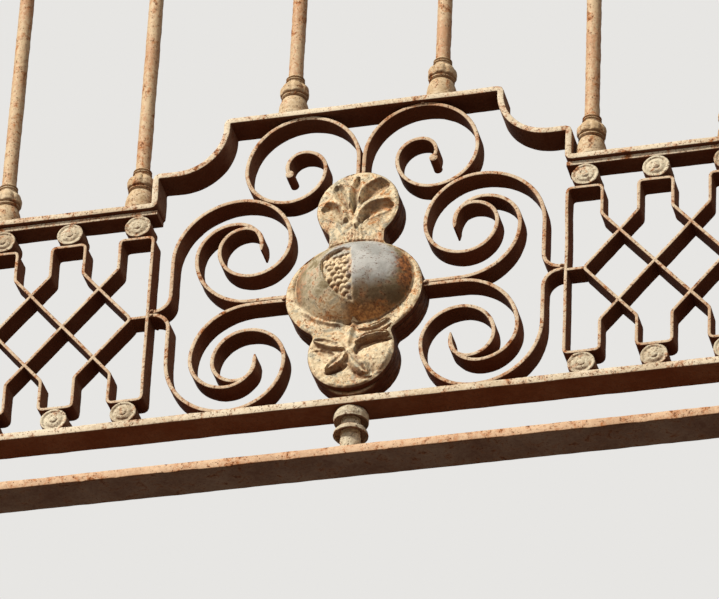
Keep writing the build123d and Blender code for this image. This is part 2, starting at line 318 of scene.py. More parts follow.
def stepped_profile(radius, steps):
    """A turned profile. Each step gives its upper radius, its height and its side's swell."""
    points = [np.array([radius, 0.0])]
    for upper_radius, height, swell in steps:
        start = points[-1]
        chord = np.array([upper_radius, start[1] + height]) - start
        length = np.linalg.norm(chord)
        out = np.array([chord[1], -chord[0]]) / max(length, 1e-9)
        for t in np.linspace(0, 1, max(2, round(length / PROFILE_SPACING)) + 1)[1:]:
            points.append(start + chord * t + out * swell * 4 * t * (1 - t))
    return np.array(points)


def add_turned(shell, profile, around, place, axis="z", shape=None, flip=False):
    """A profile of (radius, height) turned about an axis through place. shape(angle, height)
    scales the radius."""
    angle = np.linspace(0, 2 * math.pi, around, endpoint=False)
    radius, height = (profile[:, k][:, None] * np.ones(around) for k in (0, 1))
    if shape is not None:
        radius = radius * shape(angle, height)
    a = radius * np.cos(angle)
    b = radius * np.sin(angle)
    h = -height if flip else height
    order = {"z": (a, b, h), "y": (a, h, b)}[axis]
    shell.add_rings(np.stack(order, -1) + np.array(place))


def vertex_values(mesh, key):
    """The position or normal of each vertex."""
    values = np.empty(len(mesh.vertices) * 3)
    mesh.vertices.foreach_get(key, values)
    return values.reshape(-1, 3)


def ridge_values(mesh, normals):
    """How far each vertex stands out of its neighbours, from -1 in a crease to 1 on an edge."""
    co = vertex_values(mesh, "co")
    edges = np.empty(len(mesh.edges) * 2, np.int64)
    mesh.edges.foreach_get("vertices", edges)
    a, b = edges.reshape(-1, 2).T
    gap = co[b] - co[a]
    length = np.maximum(np.linalg.norm(gap, axis=1), 1e-7)
    bend = np.zeros(len(co))
    weight = np.zeros(len(co))
    np.add.at(bend, a, -(gap * normals[a]).sum(1) / length)
    np.add.at(bend, b, (gap * normals[b]).sum(1) / length)
    np.add.at(weight, a, 1)
    np.add.at(weight, b, 1)
    bend /= np.maximum(weight, 1)
    for _ in range(2):
        spread = bend.copy()
        np.add.at(spread, a, bend[b])
        np.add.at(spread, b, bend[a])
        bend = spread / (weight + 1)
    return np.clip(bend * RIDGE_SCALE, -1, 1)


def add_mark(mesh, key, values):
    attribute = mesh.attributes.new(key, "FLOAT", "POINT")
    attribute.data.foreach_set("value", np.asarray(values, np.float32))


def finish_piece(name, shell, nodes, slot, hammered=0.00016, pitted=0.00008, marks=None):
    """Makes the mesh, hammers its surface, notes its ridges and hands it to the frame."""
    mesh = bpy.data.meshes.new(name)
    mesh.from_pydata(np.vstack(shell.verts).tolist(), [], shell.faces)
    mesh.update()
    work = bmesh.new()
    work.from_mesh(mesh)
    bmesh.ops.recalc_face_normals(work, faces=work.faces)
    work.to_mesh(mesh)
    work.free()
    normals = vertex_values(mesh, "normal")
    co = vertex_values(mesh, "co")
    move = hammered * lumps(co, 0.011, 11) + 0.6 * hammered * lumps(co, 0.0045, 12)
    move += pitted * lumps(co, 0.002, 13)
    co = np.clip(co + normals * move[:, None], *(np.array(corner) for corner in cad_box))
    mesh.vertices.foreach_set("co", co.ravel())
    mesh.update()
    mesh.shade_smooth()
    mesh.set_sharp_from_angle(angle=math.radians(SHARP_ANGLE))
    add_mark(mesh, "ridge", ridge_values(mesh, normals))
    for key, values in (marks or {}).items():
        add_mark(mesh, key, values)
    mesh.materials.append(MATERIALS[slot])
    piece = bpy.data.objects.new(name, mesh)
    bpy.context.scene.collection.objects.link(piece)
    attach(piece, "root")
    if nodes:
        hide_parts(*nodes)


# Materials

class Value:
    """An output of a node. Sums, differences and products of values become nodes too."""

    def __init__(self, tree, output):
        self.tree = tree
        self.output = output

    def maths(self, operation, a, b=0.0):
        return value(self.tree, "ShaderNodeMath", 0, {0: a, 1: b}, operation=operation)

    def __add__(self, other):
        return self.maths("ADD", self, other)

    def __sub__(self, other):
        return self.maths("SUBTRACT", self, other)

    def __rsub__(self, other):
        return self.maths("SUBTRACT", other, self)

    def __mul__(self, other):
        return self.maths("MULTIPLY", self, other)

    def most(self, other):
        return self.maths("MAXIMUM", self, other)

    def size(self):
        return self.maths("ABSOLUTE", self)


def node(tree, kind, inputs=None, **settings):
    made = tree.nodes.new(kind)
    for key, setting in settings.items():
        setattr(made, key, setting)
    for key, given in (inputs or {}).items():
        if isinstance(given, Value):
            tree.links.new(given.output, made.inputs[key])
        else:
            made.inputs[key].default_value = given
    return made


def value(tree, kind, output, inputs=None, **settings):
    """One output of a new node."""
    return Value(tree, node(tree, kind, inputs, **settings).outputs[output])


def mixed(factor, a, b):
    """Colour a where factor is 0 and b where it is 1."""
    return value(factor.tree, "ShaderNodeMix", 2, {0: factor, 6: a, 7: b}, data_type="RGBA")


def ranged(number, low, high, to_low=0.0, to_high=1.0):
    """number spread from low..high to to_low..to_high, eased at both ends."""
    inputs = {0: number, 1: low, 2: high, 3: to_low, 4: to_high}
    return value(number.tree, "ShaderNodeMapRange", 0, inputs, interpolation_type="SMOOTHSTEP")


def noise(where, scale, detail, roughness, distortion=0.0):
    return value(where.tree, "ShaderNodeTexNoise", "Fac",
                 {"Vector": where, "Scale": scale, "Detail": detail, "Roughness": roughness,
                  "Distortion": distortion})


def mark(tree, key):
    return value(tree, "ShaderNodeAttribute", "Fac", attribute_name=key)


def coordinate(vector, axis):
    return value(vector.tree, "ShaderNodeSeparateXYZ", axis, {0: vector})


def cleared_tree(owner):
    """The emptied node tree of a material or a world."""
    owner.use_nodes = True
    owner.node_tree.nodes.clear()
    return owner.node_tree


def rgb(red, green, blue):
    return (red, green, blue, 1.0)


RUST_ORANGE = rgb(0.52, 0.19, 0.055)
RUST_BROWN = rgb(0.12, 0.042, 0.017)
UNDERSIDE_RUST_AND_SHADE = rgb(0.115, 0.034, 0.014)
SIDE_RUST_AND_SHADE = rgb(0.175, 0.054, 0.022)
CREASE_DARK = rgb(0.15, 0.075, 0.038)

# Scale, detail, roughness and distortion of each grain of the paint
BROAD_GRAIN = (15, 5, 0.6)
PATCH_GRAIN = (70, 9, 0.70, 0.6)
FINE_GRAIN = (260, 6, 0.62)
SPECK_GRAIN = (420, 5, 0.72, 0.3)
GREY_GRAIN = (38, 4, 0.5)
BLOTCH_GRAIN = (75, 8, 0.74, 0.8)

PAINT_ROUGHNESS = 0.55
RUST_ROUGHNESS = 0.95
SPECULAR_LEVEL = 0.2
BUMP_STRENGTH = 0.7


def rusted(colour, wear, fine, bare, start):
    """The colour with stains and rust where wear passes start, and where it is rusty."""
    rust = mixed(ranged(fine, 0.38, 0.60), RUST_BROWN, RUST_ORANGE)
    stain = ranged(wear, start - 0.09, start + 0.03, 0.0, 0.60)
    colour = mixed(stain * bare, colour, RUST_ORANGE)
    rusty = ranged(wear, start + 0.01, start + 0.06) * bare
    return mixed(rusty * 0.92, colour, rust), rusty


def aged_iron(name, paint, shade, rust=0.5, chips=0.8, side=0.0, under=0.9, crease_dark=0.6,
              pits=0.0011, extra=None):
    """Old paint on iron: mottled, stained and chipped, darker in creases, with rust underneath.
    side is how far the faces that look neither to the street nor to the house are painted brown,
    partly as rust and partly as painted shade, under the same for the undersides, and pits the
    bump's depth."""
    material = bpy.data.materials.new(name)
    tree = cleared_tree(material)
    where = value(tree, "ShaderNodeTexCoord", "Object")
    normal = value(tree, "ShaderNodeNewGeometry", "Normal")
    ridge = mark(tree, "ridge")
    grains = (BROAD_GRAIN, PATCH_GRAIN, FINE_GRAIN, SPECK_GRAIN)
    broad, patches, fine, specks = (noise(where, *grain) for grain in grains)

    colour = mixed(ranged(broad * 0.5 + fine * 0.5, 0.40, 0.58), shade, paint)
    bare = underside_share = 1.0
    if extra is not None:
        colour, bare, underside_share = extra(where, colour, patches, fine)
    wear = patches + ranged(ridge, 0.2, 0.9) * 0.10
    colour, rusty = rusted(colour, wear, fine, bare, 0.68 - 0.16 * rust)
    chip_start = 0.66 - 0.12 * chips
    chipped = ranged(specks * 0.75 + wear * 0.25, chip_start, chip_start + 0.025)
    colour = mixed(chipped * 0.85, colour, RUST_BROWN)
    # Creases, found by the ridge mark, are darkened towards a dark brown.
    colour = mixed(ranged(ridge * -1.0, 0.06, 0.6, 0.0, crease_dark), colour, CREASE_DARK)

    uneven = ranged(patches * 0.6 + broad * 0.4, 0.35, 0.62, 1.0, 0.80)
    # Undersides are painted brown, partly as rust and partly as painted shade where the light does
    # not reach them.
    underside_rust_and_shade = ranged(coordinate(normal, "Z"), -0.15, -0.65, 0.0, under) * underside_share
    dull = rusty.most(chipped).most(underside_rust_and_shade)
    # Faces that look neither to the street nor to the house are painted brown, partly as rust and
    # partly as painted shade.
    if side > 0:
        side_rust_and_shade = ranged(coordinate(normal, "Y").size(), 0.80, 0.40, 0.0, side)
        colour = mixed(side_rust_and_shade * uneven, colour, SIDE_RUST_AND_SHADE)
        dull = dull.most(side_rust_and_shade)
    colour = mixed(underside_rust_and_shade * uneven, colour, UNDERSIDE_RUST_AND_SHADE)

    roughness = ranged(dull, 0.0, 1.0, PAINT_ROUGHNESS, RUST_ROUGHNESS)
    height = fine * 0.45 + patches * 0.35 - chipped * 0.25
    bump = value(tree, "ShaderNodeBump", 0,
                 {"Strength": BUMP_STRENGTH, "Height": height,
                  "Distance": bare * pits if extra else pits})
    shader = value(tree, "ShaderNodeBsdfPrincipled", 0,
                   {"Base Color": colour, "Roughness": roughness, "Normal": bump,
                    "Specular IOR Level": SPECULAR_LEVEL})
    node(tree, "ShaderNodeOutputMaterial", {0: shader})
    return material


# Darker and lighter colour of each part of the medallion
FRUIT_GREY = (rgb(0.40, 0.41, 0.40), rgb(0.56, 0.57, 0.56))
FRUIT_OLIVE = (rgb(0.25, 0.20, 0.11), rgb(0.64, 0.58, 0.43))
# Painted shade for the dome's lower right, darker and lighter
FRUIT_PAINTED_SHADE = (rgb(0.07, 0.052, 0.030), rgb(0.24, 0.16, 0.075))
FRUIT_RUST = (rgb(0.34, 0.16, 0.065), rgb(0.78, 0.40, 0.15))
HOLLOW_GREEN = (rgb(0.24, 0.20, 0.12), rgb(0.46, 0.42, 0.30))
HOLLOW_ORANGE = (rgb(0.18, 0.115, 0.055), rgb(0.62, 0.30, 0.11))
# Brown of the lower disc's hollows, which also paints the shadows beside its leaves
HOLLOW_BROWN_AND_LEE_SHADE = (rgb(0.12, 0.048, 0.022), rgb(0.52, 0.24, 0.09))
SEED_ORANGE = rgb(0.90, 0.74, 0.50)
SEED_GREY = rgb(0.56, 0.54, 0.48)
CAST_GREEN = rgb(0.43, 0.41, 0.32)
CAST_ORANGE = rgb(0.60, 0.28, 0.10)
CAST_SIDE_RUST_AND_SHADE = rgb(0.115, 0.036, 0.015)

# The middle of the grey paint, from the dome's middle
GREY_ACROSS = 0.014
GREY_UP = 0.018


def dome_level():
    """The level of the dome's middle."""
    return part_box("medallion_front")[1].z - 2 * CROWN_RADIUS - FRUIT_HALF_HEIGHT + DOME_LIFT


def plate_colour(where, colour):
    """The plate's paint with green and orange blotches, fewer orange ones on the lower disc."""
    blotch = noise(where, *BLOTCH_GRAIN)
    colour = mixed(ranged(blotch, 0.515, 0.58, 0.0, 0.85), colour, CAST_GREEN)
    level = dome_level()
    higher = ranged(coordinate(where, "Z"), level - 0.090, level - 0.060, 0.3, 1.0)
    return mixed(ranged(blotch, 0.455, 0.390, 0.0, 0.9) * higher, colour, CAST_ORANGE)


def skin_colour(where, plate, patches, fine, grey, greyed):
    """The fruit's skin: grey in the middle, olive round it, rust to both sides and below, and
    painted shade over its lower right.
    """
    x = coordinate(where, "X")
    skin = mixed(greyed, mixed(ranged(patches, 0.38, 0.62), *FRUIT_OLIVE), grey)
    mottled = ranged(fine, 0.40, 0.62)
    rust = mixed(mottled, RUST_BROWN, RUST_ORANGE)
    skin = mixed(ranged(x + patches * 0.060, 0.078, 0.092, 0.0, 0.92), skin, rust)
    skin = mixed(ranged(patches * 0.060 - x, 0.084, 0.100, 0.0, 0.7), skin, rust)
    below = dome_level() - coordinate(where, "Z") + patches * 0.030
    # Painted shade: the dome's lower right is darkened as if the light from the upper left missed
    # it.
    painted_shade = ranged(below, 0.018, 0.044, 0.0, 0.92) * ranged(x, -0.012, 0.010)
    skin = mixed(painted_shade, skin, mixed(patches, *FRUIT_PAINTED_SHADE))
    skin = mixed(ranged(below, 0.050, 0.066, 0.0, 0.85), skin, mixed(mottled, *FRUIT_RUST))
    paler = ranged(below, 0.034, 0.056, 0.0, 0.85) * ranged(x, 0.004, -0.014)
    return mixed(paler, skin, plate)


def hollow_colour(where, patches):
    """The floor of the hollows: green on the crown's left, orange on its right, brown below, where
    it also paints the shadows beside the lower disc's leaves.
    """
    mottled = ranged(patches, 0.40, 0.60)
    green, orange, brown = (mixed(mottled, *pair)
                            for pair in (HOLLOW_GREEN, HOLLOW_ORANGE, HOLLOW_BROWN_AND_LEE_SHADE))
    level = dome_level()
    floor = mixed(ranged(coordinate(where, "X"), -0.012, 0.010), green, orange)
    return mixed(ranged(coordinate(where, "Z"), level, level - 0.02), floor, brown)


def seed_colour(where, patches, grey):
    """Pale orange seeds, painted over at the top, with grey spilt on them from the right."""
    level = dome_level()
    painted = ranged(coordinate(where, "Z") + patches * 0.03, level + 0.034, level + 0.042)
    spilt = ranged(coordinate(where, "X") + patches * 0.030, 0.010, 0.019, 0.0, 0.8)
    return mixed(spilt, mixed(painted, SEED_ORANGE, SEED_GREY), grey)


def medallion_paint(where, colour, patches, fine):
    """The colour of each part of the medallion, how open each place is to more rust, and how far
    its underside may be painted brown, partly as rust and partly as painted shade."""
    tree = where.tree
    skin, seeds, hollow, sides = (mark(tree, key) for key in ("skin", "seeds", "hollow", "sides"))
    level = dome_level()
    grey = mixed(ranged(noise(where, *GREY_GRAIN), 0.40, 0.62), *FRUIT_GREY)
    middle = (GREY_ACROSS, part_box("medallion_front")[0].y, level + GREY_UP)
    far = value(tree, "ShaderNodeVectorMath", "Value", {0: where, 1: middle}, operation="DISTANCE")
    greyed = ranged(far + patches * -0.036, 0.037, 0.022)

    colour = plate_colour(where, colour)
    colour = mixed(skin, colour, skin_colour(where, colour, patches, fine, grey, greyed))
    # Hollows are stained. Below the dome the same mark also paints the shadows beside the lower
    # disc's leaves.
    stained = hollow * ranged(patches, 0.34, 0.62, 0.95, 0.45)
    stained = stained * ranged(coordinate(where, "X"), -0.036, -0.010, 0.15, 1.0)
    colour = mixed(stained, colour, hollow_colour(where, patches))
    colour = mixed(seeds * 0.9, colour, seed_colour(where, patches, grey))
    # The casting's edge walls, by the sides mark, are painted dark brown, partly as rust and
    # partly as painted shade.
    colour = mixed(sides * ranged(patches, 0.35, 0.65, 1.0, 0.85), colour, CAST_SIDE_RUST_AND_SHADE)

    covered = (greyed * skin * 0.88).most(sides * 0.6)
    sheltered = hollow * ranged(coordinate(where, "Z"), level, level + 0.02)
    return colour, 1.0 - covered, 1.0 - skin.most(sheltered) * 0.7


# Each slot's paint, its darker shade, and what differs from plain aged iron
IRONS = {
    "base_iron": (rgb(0.78, 0.55, 0.36), rgb(0.62, 0.40, 0.245), dict(rust=0.6, chips=0.75)),
    "rail_iron": (rgb(0.84, 0.74, 0.57), rgb(0.66, 0.54, 0.38),
                  dict(chips=0.85, side=0.93, under=0.98)),
    "strip_iron": (rgb(0.72, 0.59, 0.43), rgb(0.56, 0.39, 0.25),
                   dict(rust=0.55, side=0.97, under=0.98)),
    "baluster_iron": (rgb(0.70, 0.54, 0.35), rgb(0.58, 0.34, 0.195),
                      dict(rust=0.6, under=0.0, pits=0.0016)),
    "collar_iron": (rgb(0.74, 0.60, 0.41), rgb(0.57, 0.41, 0.24),
                    dict(under=0.6, crease_dark=0.5, pits=0.0020)),
    "rosette_iron": (rgb(0.74, 0.67, 0.51), rgb(0.52, 0.42, 0.29),
                     dict(rust=0.45, side=0.9, under=0.8, crease_dark=0.4, pits=0.0024)),
    "foot_iron": (rgb(0.80, 0.73, 0.57), rgb(0.53, 0.46, 0.33),
                  dict(rust=0.4, chips=0.85, pits=0.0034)),
    "medallion_iron": (rgb(0.88, 0.75, 0.52), rgb(0.65, 0.49, 0.29),
                       dict(rust=0.40, chips=0.75, under=0.8, crease_dark=0.75, pits=0.0026,
                            extra=medallion_paint)),
}
MATERIALS = {slot: aged_iron(slot, paint, shade, **settings)
             for slot, (paint, shade, settings) in IRONS.items()}


# Straight bars

def make_bar(name, slot="rail_iron", corner=0.0012):
    """A straight bar that fills a node's box."""
    low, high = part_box(name)
    middle = (low.z + high.z) / 2
    shell = Shell()
    add_strip(shell, [(low.x, middle), (high.x, middle)], high.z - low.z, high.y - low.y,
              corner=corner, spacing=0.006, wobble=0.0003, seed=len(name))
    finish_piece(f"{name}_bar", shell, [name], slot)


def make_bars():
    make_bar("base_bar", "base_iron", 0.0015)
    for name in ("bottom_rail", "upper_bar", "lattice_top_bar_left", "lattice_top_bar_right"):
        make_bar(name)


def make_handrail():
    """A handrail with upright edges and a crowned top."""
    low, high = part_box("handrail")
    rise = high.z - low.z - HANDRAIL_EDGE
    half = (high.y - low.y) / 2
    crown = [(half * math.cos(a), HANDRAIL_EDGE + rise * math.sin(a))
             for a in np.linspace(0, math.pi, 17)]
    section = evenly_spaced(np.array([(-half, 0), (half, 0)] + crown), 0.003, closed=True)
    stations = np.append(np.arange(low.x, high.x, 0.008), high.x)
    shell = Shell()
    shell.add_rings(np.stack(np.broadcast_arrays(
        stations[:, None], section[None, :, 0], section[None, :, 1] + low.z), -1))
    finish_piece("handrail_bar", shell, ["handrail"], "rail_iron")


def make_end_posts():
    """Square posts with eased corners."""
    for side, _ in SIDES:
        name = f"end_post_{side}"
        low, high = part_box(name)
        section = rounded_section(high.x - low.x, high.y - low.y, POST_CORNER)
        levels = np.linspace(low.z, high.z, POST_LEVELS)
        shell = Shell()
        shell.add_rings(np.stack(np.broadcast_arrays(
            (low.x + high.x) / 2 + section[None, :, 0], section[None, :, 1], levels[:, None]), -1))
        finish_piece(f"{name}_bar", shell, [name], "rail_iron")


# The step rail, lattice and scrolls

def make_step_rail():
    """One bent bar: low over the lattices, with a riser, a short flat and a ramp on each side."""
    low_corner, high_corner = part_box("step_rail")
    half = STEP_RAIL_THICKNESS / 2
    low = low_corner.z + half
    raised = high_corner.z - half
    middle = low + FIRST_RISE
    ramp_start = RAISED_HALF_WIDTH + RAMP_RADIUS
    ramp = [(ramp_start - RAMP_RADIUS * math.sin(a), middle + RAMP_RADIUS * (1 - math.cos(a)))
            for a in np.linspace(0, math.pi / 2, 20)]
    right = [(high_corner.x, low), (RISER_CENTRE, low), (RISER_CENTRE, middle)] + ramp
    right.append((RAISED_HALF_WIDTH, raised))
    corners = right + [(-x, z) for x, z in reversed(right)]
    shell = Shell()
    add_strip(shell, filleted(corners, STEP_CORNER_RADIUS), STEP_RAIL_THICKNESS,
              high_corner.y - low_corner.y, corner=0.0011, spacing=0.0035, seed=4)
    finish_piece("step_rail_bar", shell, ["step_rail"], "rail_iron")


def lattice_levels():
    """The strips' centre levels at the flats, read from the panel's box."""
    low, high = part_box("lattice_right")
    return low.z + STRIP_THICKNESS / 2, high.z - STRIP_THICKNESS / 2


def flat_stations():
    """The middle of each flat of the right-hand lattice."""
    low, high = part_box("lattice_right")
    inset = (STRIP_THICKNESS + FLAT_WIDTH) / 2
    return np.linspace(low.x + inset, high.x - inset, LATTICE_PITCHES + 1)


def flat_corners(x, at_top, side):
    """A flat and the knees beside it, passed from -side to +side."""
    bottom, top = lattice_levels()
    level, knee = (top, top - KNEE_DROP) if at_top else (bottom, bottom + KNEE_DROP)
    half = side * FLAT_WIDTH / 2
    return [(x - half, knee), (x - half, level), (x + half, level), (x + half, knee)]


def zigzag(stations):
    """The corners of a strip on its way out over the stations, and on its way back."""
    out = [corner for count, x in enumerate(stations)
           for corner in flat_corners(x, count % 2 == 0, 1)]
    back = [corner for count, x in reversed(list(enumerate(stations)))
            for corner in flat_corners(x, count % 2 == 1, -1)]
    return out, back


def lattice_loops():
    """Two closed strips, one that makes the bands at the ends and one that turns back between
    them, and the stubs that join these."""
    middle = sum(lattice_levels()) / 2
    stations = flat_stations()
    first, last = stations[0], stations[-1]
    out, back = zigzag(stations[0::2])
    framed = out[1:-1] + back[1:-1]
    out, back = zigzag(stations[1::2])
    inner = [(first, middle)] + out + [(last, middle)] + back
    half = FLAT_WIDTH / 2
    stubs = [[(first - half, middle), (first, middle)], [(last, middle), (last + half, middle)]]
    return [framed, inner], stubs


def make_lattices():
    loops, stubs = lattice_loops()
    for side, sign in SIDES:
        shell = Shell()
        for count, corners in enumerate(loops):
            mirrored = [(sign * x, z) for x, z in corners]
            add_strip(shell, filleted(mirrored, STRIP_BEND_RADIUS, closed=True), STRIP_THICKNESS,
                      STRIP_DEPTH, closed=True, corner=0.0007, spacing=LATTICE_SPACING,
                      wobble=0.0006, seed=20 + count)
        for line in stubs:
            add_strip(shell, [(sign * x, z) for x, z in line], STRIP_THICKNESS, STRIP_DEPTH,
                      corner=0.0007, spacing=LATTICE_SPACING, seed=25)
        finish_piece(f"lattice_{side}_strips", shell, [f"lattice_{side}"], "strip_iron")


def scroll_mid():
    return sum(lattice_levels()) / 2 + SCROLL_MID_OFFSET


def coil_end(turns):
    return bent_path((0, 0), 90, quarter_turns(turns))[-1]


def double_scroll_lines():
    """The upper right scroll: the bar from the medallion, and the bar from the lattice's band."""
    half = SCROLL_THICKNESS / 2
    mid = scroll_mid()
    medallion_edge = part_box("medallion_front")[1].x
    band_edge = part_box("lattice_right")[0].x
    rail_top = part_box("bottom_rail")[1].z
    eye = np.array([medallion_edge + MEDALLION_LEAD, mid + half]) - coil_end(MEDALLION_TURNS)
    medallion_bar = bent_path(eye, 90, quarter_turns(MEDALLION_TURNS) + [(MEDALLION_LEAD, 0)])
    top = 2 * mid - rail_top - half
    coil_start = np.array([eye[0], top - coil_end(BAND_TURNS[:-1])[1]])
    finish = coil_start + coil_end(BAND_TURNS)
    drop = finish[1] - BAND_TURN_RADIUS - (mid + half)
    reach = band_edge - finish[0] - BAND_TURN_RADIUS
    run_out = [(drop, 0), (BAND_TURN_RADIUS, 90), (reach, 0)]
    return medallion_bar, bent_path(coil_start, 90, quarter_turns(BAND_TURNS) + run_out)


def make_scrolls():
    """Four double scrolls: two bars each, and the point that they run into."""
    medallion_bar, band_bar = double_scroll_lines()
    mid = scroll_mid()
    start = band_bar[0]
    point = np.array([start, start - (0, EYE_LENGTH + start[1] - medallion_bar[0][1])])
    tapered = dict(spacing=0.0015, wobble=0, widths=((0, 1.0), (0.5, 1.05), (1, 0.42)), seed=33)
    strips = ((medallion_bar, dict(seed=31)), (band_bar, dict(seed=32)), (point, tapered))
    for side, sign in SIDES:
        for level, flip in (("upper", 1), ("lower", -1)):
            shell = Shell()
            for line, settings in strips:
                placed = np.stack([sign * line[:, 0], mid + flip * (line[:, 1] - mid)], 1)
                add_strip(shell, placed, SCROLL_THICKNESS, SCROLL_DEPTH, **settings)
            name = f"{level}_scroll_{side}"
            finish_piece(f"{name}_bars", shell, [name], "strip_iron")


NUB_RADIUS = 0.0052
NUB_END_RADIUS = 0.0006
NUB_STEPS = (
    (NUB_RADIUS, 0.0008, 0.0003),
    (NUB_RADIUS, SCROLL_DEPTH - 0.0016, 0.0002),
    (NUB_END_RADIUS, 0.0008, 0.0003),
)


def make_top_scrolls():
    """A stem, a bend under the raised rail, a coil, and an end turned on into a round nub."""
    low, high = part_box("top_scroll_right")
    stem = high.z - SCROLL_THICKNESS / 2 - TOP_OUTER_TURNS[0] - low.z
    coil = quarter_turns(TOP_OUTER_TURNS + TOP_INNER_TURNS)
    line = bent_path((STEM_OFFSET, low.z), 90,
                     [(stem, 0)] + coil + [(TOP_END_RADIUS, -TOP_END_ANGLE)])
    tip = line[-1]
    nub = stepped_profile(NUB_END_RADIUS, NUB_STEPS)
    for side, sign in SIDES:
        shell = Shell()
        add_strip(shell, line * (sign, 1), SCROLL_THICKNESS, SCROLL_DEPTH, spacing=0.0026, seed=41)
        add_turned(shell, nub, NUB_AROUND, (sign * tip[0], -SCROLL_DEPTH / 2, tip[1]), axis="y")
        name = f"top_scroll_{side}"
        finish_piece(f"{name}_bar", shell, [name], "strip_iron")


# Welds

BEAD_RADIUS = 0.0036
BEAD_STRETCH = 1.6
BEAD_AROUND = 18
BEAD_RINGS = 13


def add_bead(shell, place, radius, seed):
    """A lump of weld, longer in depth than it is wide, with an uneven surface."""
    angle = np.linspace(0, 2 * math.pi, BEAD_AROUND, endpoint=False)
    polar = np.linspace(0.02, math.pi - 0.02, BEAD_RINGS)[:, None]
    ball = np.broadcast_arrays(np.sin(polar) * np.cos(angle), np.cos(polar) * BEAD_STRETCH,
                               np.sin(polar) * np.sin(angle))
    points = np.stack(ball, -1) * radius
    swell = 1 + 0.22 * lumps(points.reshape(-1, 3) + np.array(place), 0.0035, seed)
    shell.add_rings(points * swell.reshape(BEAD_RINGS, BEAD_AROUND, 1) + np.array(place))


def make_welds():
    """Beads where the scrolls touch the rails, the medallion and each other."""
    _, band_bar = double_scroll_lines()
    mid = scroll_mid()
    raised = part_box("step_rail")[1].z - STEP_RAIL_THICKNESS
    rail_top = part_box("bottom_rail")[1].z
    low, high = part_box("top_scroll_right")
    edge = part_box("medallion_front")[1].x
    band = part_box("lattice_right")[0].x
    lowest_x = band_bar[:, 0][band_bar[:, 1].argmax()]
    spots = [(low.x + (high.x - low.x) * 0.5, raised), (lowest_x, rail_top + 0.001),
             (edge + 0.003, mid), (band - 0.003, mid + 0.003), (band - 0.003, mid - 0.003)]
    near = SCROLL_DEPTH / 2 - 0.003
    shell = Shell()
    for count, (x, z) in enumerate(spots):
        radius = BEAD_RADIUS * (0.8 + 0.1 * ((count * 3) % 4))
        for sign, y in itertools.product((-1, 1), (-1, 1)):
            add_bead(shell, (sign * x, y * near, z), radius, 60 + count)
    finish_piece("weld_beads", shell, [], "strip_iron", hammered=0.0002)


# Turned castings

def make_balusters():
    """Round bars, a little uneven and pitted by rust."""
    for count in range(1, 9):
        name = f"baluster_{count:02}"
        low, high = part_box(name)
        length = high.z - low.z
        levels = np.linspace(0, length, round(length / ROD_SPACING))
        profile = np.stack([np.full(len(levels), (high.x - low.x) / 2), levels], 1)
        shell = Shell()
        add_turned(shell, profile, ROD_AROUND, ((low.x + high.x) / 2, 0, low.z))
        finish_piece(f"{name}_rod", shell, [name], "baluster_iron", hammered=0.00028,
                     pitted=0.00022)


COLLAR_BASE_RADIUS = 0.019
COLLAR_STEPS = (
    (0.0190, 0.0042, 0.0),
    (0.0183, 0.0008, 0.0001),
    (0.0142, 0.0228, 0.0017),
    (0.0136, 0.0006, -0.0001),
    (0.0158, 0.0013, 0.0006),
    (0.0148, 0.0009, -0.0005),
    (0.0158, 0.0015, 0.0006),
    (0.0140, 0.0012, -0.0003),
    (0.0180, 0.0058, 0.0016),
    (0.0118, 0.0122, 0.0026),
    (0.0103, 0.0046, -0.0008),
    (0.0102, 0.0022, 0.0017),
    (0.0100, 0.0016, -0.0003),
    (0.0102, 0.0022, 0.0017),
    (0.0093, 0.0014, 0.0002),
)
BULB_BOTTOM = 0.0332
BULB_TOP = 0.0515
BULB_LOBES = 7
BULB_TWIST = 18


def bulb_lobes(angle, height):
    """Leafy lobes round the collar's bulb that overlap like petals and part towards the neck."""
    on_bulb = smoothstep(BULB_BOTTOM, BULB_BOTTOM + 0.004, height)
    on_bulb = on_bulb * (1 - smoothstep(BULB_TOP - 0.003, BULB_TOP, height))
    lean = (height - BULB_BOTTOM) * BULB_TWIST
    place = (angle * BULB_LOBES / (2 * math.pi) + lean * 0.12) % 1
    petal = np.sin(math.pi * place) ** 0.42
    overlap = 0.030 * (place - 0.5)
    vein = -0.022 * bell(place - 0.5, 0.07)
    parting = 0.13 + 0.10 * smoothstep(BULB_BOTTOM + 0.006, BULB_TOP, height)
    return 1 + on_bulb * (-parting * (1 - petal) + overlap + vein)


def make_collars():
    """A casting at each baluster's foot, and the same one turned over at its head."""
    profile = stepped_profile(COLLAR_BASE_RADIUS, COLLAR_STEPS)
    for count in range(1, 9):
        name = f"collars_{count:02}"
        low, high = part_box(name)
        turn = 0.4 * count
        shell = Shell()
        for level, flip in ((low.z, False), (high.z, True)):
            add_turned(shell, profile, CASTING_AROUND, ((low.x + high.x) / 2, 0, level),
                       shape=lambda angle, height: bulb_lobes(angle + turn, height), flip=flip)
        finish_piece(f"{name}_castings", shell, [name], "collar_iron", hammered=0.00022)


FOOT_BASE_RADIUS = 0.0188
FOOT_STEPS = (
    (0.0186, 0.0016, 0.0003),
    (0.0120, 0.0104, -0.0023),
    (0.0117, 0.0210, 0.0002),
    (0.0194, -0.0050, -0.0015),
    (0.0209, 0.0006, 0.0004),
    (0.0208, 0.0010, 0.0002),
    (0.0124, 0.0084, 0.0022),
    (0.0138, 0.0014, 0.0006),
    (0.0120, 0.0014, -0.0002),
    (0.0117, 0.0092, 0.0),
    (0.0194, -0.0040, -0.0014),
    (0.0209, 0.0006, 0.0004),
    (0.0208, 0.0010, 0.0002),
    (0.0164, 0.0144, 0.0020),
)


